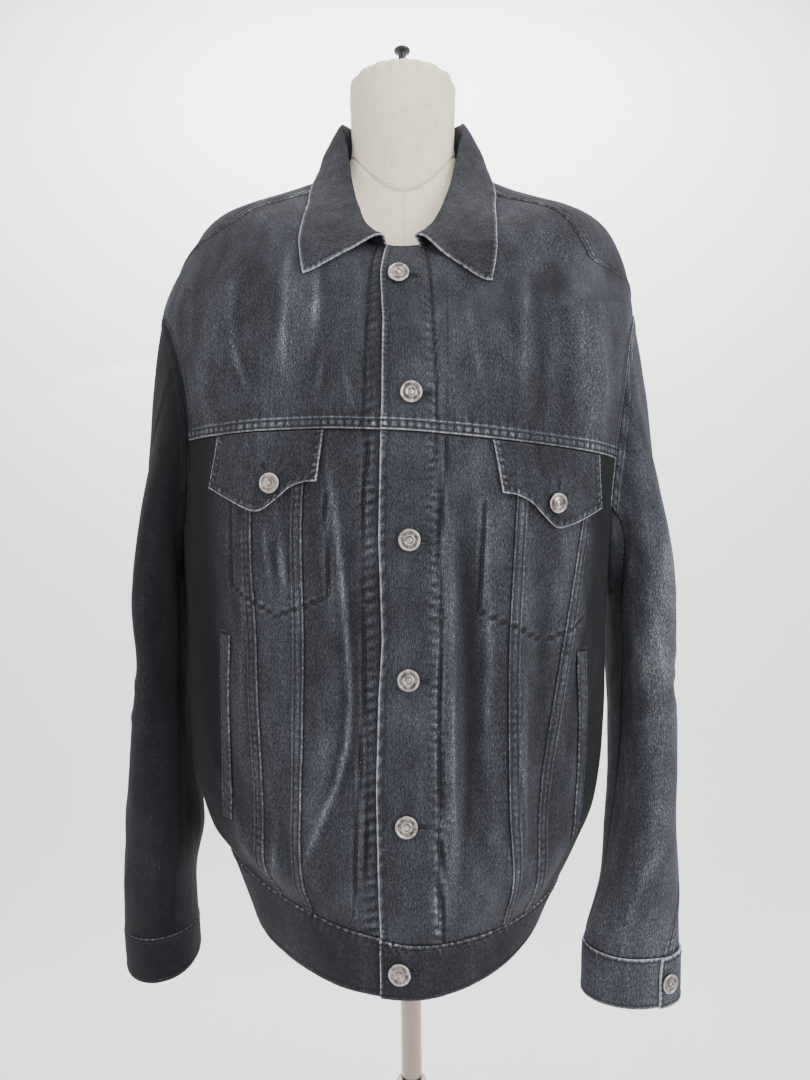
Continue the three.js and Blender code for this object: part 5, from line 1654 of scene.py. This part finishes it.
def metal(kind):
    """Polished steel for the stand, with painted reflection in its brownish colour and upright streaks, or
    satin, faintly coppery metal for the buttons, with painted shade in their low ring.
    """
    patina_and_reflection_scale, scratch_scale, shown, rough = METALS[kind]

    def build(tree, shader):
        base = getattr(bpy.context.scene.jacket_colours, kind)
        place = object_place(tree)
        patina_and_reflection = texture(tree, place, patina_and_reflection_scale, 3.0)
        scratches = texture(tree, place, scratch_scale)
        terms = [(patina_and_reflection, 0.5, shown)]
        if kind == "button":
            # Painted shade in the button's low ring.
            terms.append((attribute(tree, "groove"), 0, -0.42))
        colour = ramp(tree, weigh(tree, 0.6, *terms), (0.0, shaded(base, 0.16)), (0.8, base))
        finish(tree, shader, colour, Metallic=1.0)
        gloss = node(tree, "ShaderNodeMapRange")
        gloss.inputs["To Min"].default_value = rough * 0.75
        gloss.inputs["To Max"].default_value = rough * 1.4
        tree.links.new(scratches, gloss.inputs["Value"])
        tree.links.new(gloss.outputs["Result"], shader.inputs["Roughness"])
        bump(tree, shader, patina_and_reflection, 0.0002, 0.3)

    return material(f"polished_{kind}", build)


# Plain materials: the scale of their noise, the two stops of their colour, and the roughness.
PLAIN = {
    "buttonhole_shadow": (900, (0.3, (0.002, 0.002, 0.003)), (0.9, (0.02, 0.021, 0.025)), 1.0),
    "knob_black_plastic": (800, (0.2, (0.006, 0.006, 0.007)), (0.9, (0.03, 0.03, 0.034)), 0.3),
    "stage_white": (3, (0.2, (0.92, 0.92, 0.92)), (0.9, (0.94, 0.94, 0.94)), 0.95),
}


def plain(name):
    """A plain material with a little noise in its colour."""
    scale, dark, pale, rough = PLAIN[name]

    def build(tree, shader):
        grain = texture(tree, object_place(tree), (scale, scale, scale))
        finish(tree, shader, ramp(tree, grain, dark, pale), Roughness=rough)

    return material(name, build)


# Camera, lights and floor

FOCAL = 811.0  # in pixels of the picture's height of 1080
PICTURE_HEIGHT = 1080.0
DISTANCE = 866.0  # from the camera to the pole's line
ASIDE = -1.8  # of the camera from the pole's line
ROLL = 0.54
SENSOR = 36.0


def make_stage():
    """A pale floor that rises into a backdrop, soft lights and the camera."""
    floor = bmesh.new()
    bmesh.ops.create_grid(floor, x_segments=2, y_segments=96, size=6.0)
    for vert in floor.verts:
        behind = max(vert.co.y - 1.2, 0.0)
        vert.co.z = 14.0 * behind**2 / (behind**2 + 6.0)
    mesh = bpy.data.meshes.new("floor")
    floor.to_mesh(mesh)
    floor.free()
    ground = bpy.data.objects.new("floor", mesh)
    bpy.context.scene.collection.objects.link(ground)
    mesh.materials.append(plain("stage_white"))
    mesh.shade_smooth()

    world = bpy.data.worlds.new("soft daylight")
    world.use_nodes = True
    bpy.context.scene.world = world
    background = world.node_tree.nodes["Background"]
    background.inputs["Color"].default_value = (0.93, 0.95, 1.0, 1.0)
    background.inputs["Strength"].default_value = bpy.context.scene.jacket_colours.daylight

    for name, place, target, size, power, colour in LIGHTS:
        lamp = bpy.data.lights.new(name, "AREA")
        lamp.shape = "RECTANGLE"
        lamp.size, lamp.size_y = size
        lamp.energy = power
        lamp.color = colour
        lamp_object = bpy.data.objects.new(name, lamp)
        bpy.context.scene.collection.objects.link(lamp_object)
        lamp_object.location = place
        aim = Vector(target) - Vector(place)
        lamp_object.rotation_euler = aim.to_track_quat("-Z", "Y").to_euler()

    lens = bpy.data.cameras.new("camera")
    lens.sensor_fit = "VERTICAL"
    lens.sensor_height = SENSOR
    lens.lens = FOCAL / PICTURE_HEIGHT * SENSOR
    camera = bpy.data.objects.new("camera", lens)
    bpy.context.scene.collection.objects.link(camera)
    camera.location = (ASIDE * MM, -DISTANCE * MM, DATUM * MM)
    camera.rotation_euler = (math.radians(90), math.radians(ROLL), 0)
    bpy.context.scene.camera = camera


LIGHTS = [
    ("window right", (1.7, -1.7, 1.9), (0.0, 0.0, 1.15), (1.3, 1.8), 52, (0.95, 0.97, 1.0)),
    ("window left", (-1.9, -1.5, 1.7), (0.0, 0.0, 1.1), (1.2, 1.6), 16, (1.0, 0.98, 0.95)),
    ("ceiling", (0.2, -0.3, 3.0), (0.0, 0.0, 1.2), (1.6, 1.6), 24, (1.0, 0.99, 0.97)),
    ("behind", (-0.4, 2.2, 1.9), (0.0, 0.0, 1.1), (1.8, 1.6), 26, (1.0, 1.0, 1.0)),
    ("backdrop", (0.0, 1.2, 3.4), (0.0, 4.0, 1.4), (3.0, 1.0), 160, (1.0, 1.0, 1.0)),
]


# The add-on


class JacketSizes(bpy.types.PropertyGroup):
    """Sizes that a user would change."""

    button_radius: bpy.props.FloatProperty(
        name="Button radius", description="Radius of a front button", default=0.010, min=0.006, max=0.014,
        subtype="DISTANCE", unit="LENGTH")
    stitch_length: bpy.props.FloatProperty(
        name="Stitch length", description="Length of one stitch that shows", default=0.0025,
        min=0.0015, max=0.005, subtype="DISTANCE", unit="LENGTH")
    stitch_gap: bpy.props.FloatProperty(
        name="Stitch gap", description="Space between two stitches", default=0.001, min=0.0004, max=0.003,
        subtype="DISTANCE", unit="LENGTH")


class JacketColours(bpy.types.PropertyGroup):
    """Colours that a user would change."""

    denim: bpy.props.FloatVectorProperty(
        name="Denim", description="The cloth where it isn't worn", subtype="COLOR", size=3,
        default=(0.0145, 0.0150, 0.0178), min=0, max=1)
    washed: bpy.props.FloatVectorProperty(
        name="Washed denim", description="The cloth where the wash has taken its dye", subtype="COLOR",
        size=3, default=(0.055, 0.059, 0.071), min=0, max=1)
    # The palest cloth: worn edges and ridges, with the painted highlights on ridges and puckers.
    worn: bpy.props.FloatVectorProperty(
        name="Worn denim", description="Rubbed edges and ridges", subtype="COLOR", size=3,
        default=(0.40, 0.42, 0.45), min=0, max=1)
    thread: bpy.props.FloatVectorProperty(
        name="Thread", description="The sewing thread", subtype="COLOR", size=3,
        default=(0.014, 0.0145, 0.017), min=0, max=1)
    linen: bpy.props.FloatVectorProperty(
        name="Linen", description="The dress form's cover", subtype="COLOR", size=3,
        default=(0.92, 0.80, 0.59), min=0, max=1)
    button: bpy.props.FloatVectorProperty(
        name="Button metal", description="The buttons", subtype="COLOR", size=3, default=(0.55, 0.475, 0.44),
        min=0, max=1)
    # The steel's brownish colour is partly painted reflection.
    steel: bpy.props.FloatVectorProperty(
        name="Steel", description="The stand", subtype="COLOR", size=3, default=(0.36, 0.28, 0.24),
        min=0, max=1)
    daylight: bpy.props.FloatProperty(
        name="Daylight", description="Strength of the even light all round", default=0.95, min=0, max=5)


class JACKET_OT_fronts(bpy.types.Operator):
    """Makes the panels and yokes of the two fronts"""

    bl_idname = "jacket.fronts"
    bl_label = "Fronts"

    def execute(self, context):
        make_fronts()
        return {"FINISHED"}


class JACKET_OT_back(bpy.types.Operator):
    """Makes the back's yoke and panels"""

    bl_idname = "jacket.back"
    bl_label = "Back"

    def execute(self, context):
        make_back()
        return {"FINISHED"}


class JACKET_OT_sleeves(bpy.types.Operator):
    """Makes the two-piece sleeves and the cuffs"""

    bl_idname = "jacket.sleeves"
    bl_label = "Sleeves and cuffs"

    def execute(self, context):
        make_sleeves()
        make_cuffs()
        return {"FINISHED"}


class JACKET_OT_trims(bpy.types.Operator):
    """Makes the waistband and the collar"""

    bl_idname = "jacket.trims"
    bl_label = "Waistband and collar"

    def execute(self, context):
        make_waistband()
        make_collar()
        return {"FINISHED"}


class JACKET_OT_pockets(bpy.types.Operator):
    """Makes the flaps of the chest pockets and the strips of the hand pockets"""

    bl_idname = "jacket.pockets"
    bl_label = "Pockets"

    def execute(self, context):
        make_flaps()
        make_welts()
        return {"FINISHED"}


class JACKET_OT_sewing(bpy.types.Operator):
    """Sews the rows of stitches, the buttonholes and the bartacks"""

    bl_idname = "jacket.sewing"
    bl_label = "Sewing"

    def execute(self, context):
        make_stitches()
        make_buttonholes()
        return {"FINISHED"}


class JACKET_OT_buttons(bpy.types.Operator):
    """Makes the metal buttons"""

    bl_idname = "jacket.buttons"
    bl_label = "Buttons"

    def execute(self, context):
        make_buttons()
        return {"FINISHED"}


class JACKET_OT_form(bpy.types.Operator):
    """Makes the dress form"""

    bl_idname = "jacket.form"
    bl_label = "Dress form"

    def execute(self, context):
        make_form()
        return {"FINISHED"}


class JACKET_OT_stand(bpy.types.Operator):
    """Makes the knob, the pole and the foot"""

    bl_idname = "jacket.stand"
    bl_label = "Stand"

    def execute(self, context):
        make_stand()
        return {"FINISHED"}


class JACKET_OT_stage(bpy.types.Operator):
    """Makes the floor, the lights and the camera"""

    bl_idname = "jacket.stage"
    bl_label = "Stage"

    def execute(self, context):
        make_stage()
        return {"FINISHED"}


OPERATORS = (
    JACKET_OT_stage,
    JACKET_OT_form,
    JACKET_OT_stand,
    JACKET_OT_fronts,
    JACKET_OT_back,
    JACKET_OT_sleeves,
    JACKET_OT_trims,
    JACKET_OT_pockets,
    JACKET_OT_sewing,
    JACKET_OT_buttons,
)


class JACKET_PT_panel(bpy.types.Panel):
    """Lists the jacket's pieces, sizes and colours"""

    bl_label = "Denim Jacket"
    bl_idname = "JACKET_PT_panel"
    bl_space_type = "VIEW_3D"
    bl_region_type = "UI"
    bl_category = "Jacket"

    def draw(self, context):
        for kind in OPERATORS:
            self.layout.operator(kind.bl_idname)
        for group in (context.scene.jacket_sizes, context.scene.jacket_colours):
            for name in group.__annotations__:
                self.layout.prop(group, name)


CLASSES = (JacketSizes, JacketColours, *OPERATORS, JACKET_PT_panel)


def register():
    for kind in CLASSES:
        bpy.utils.register_class(kind)
    bpy.types.Scene.jacket_sizes = bpy.props.PointerProperty(type=JacketSizes)
    bpy.types.Scene.jacket_colours = bpy.props.PointerProperty(type=JacketColours)


def unregister():
    del bpy.types.Scene.jacket_sizes
    del bpy.types.Scene.jacket_colours
    for kind in reversed(CLASSES):
        bpy.utils.unregister_class(kind)


def main():
    register()
    for kind in OPERATORS:
        group, name = kind.bl_idname.split(".")
        getattr(getattr(bpy.ops, group), name)()


if __name__ == "__main__":
    main()
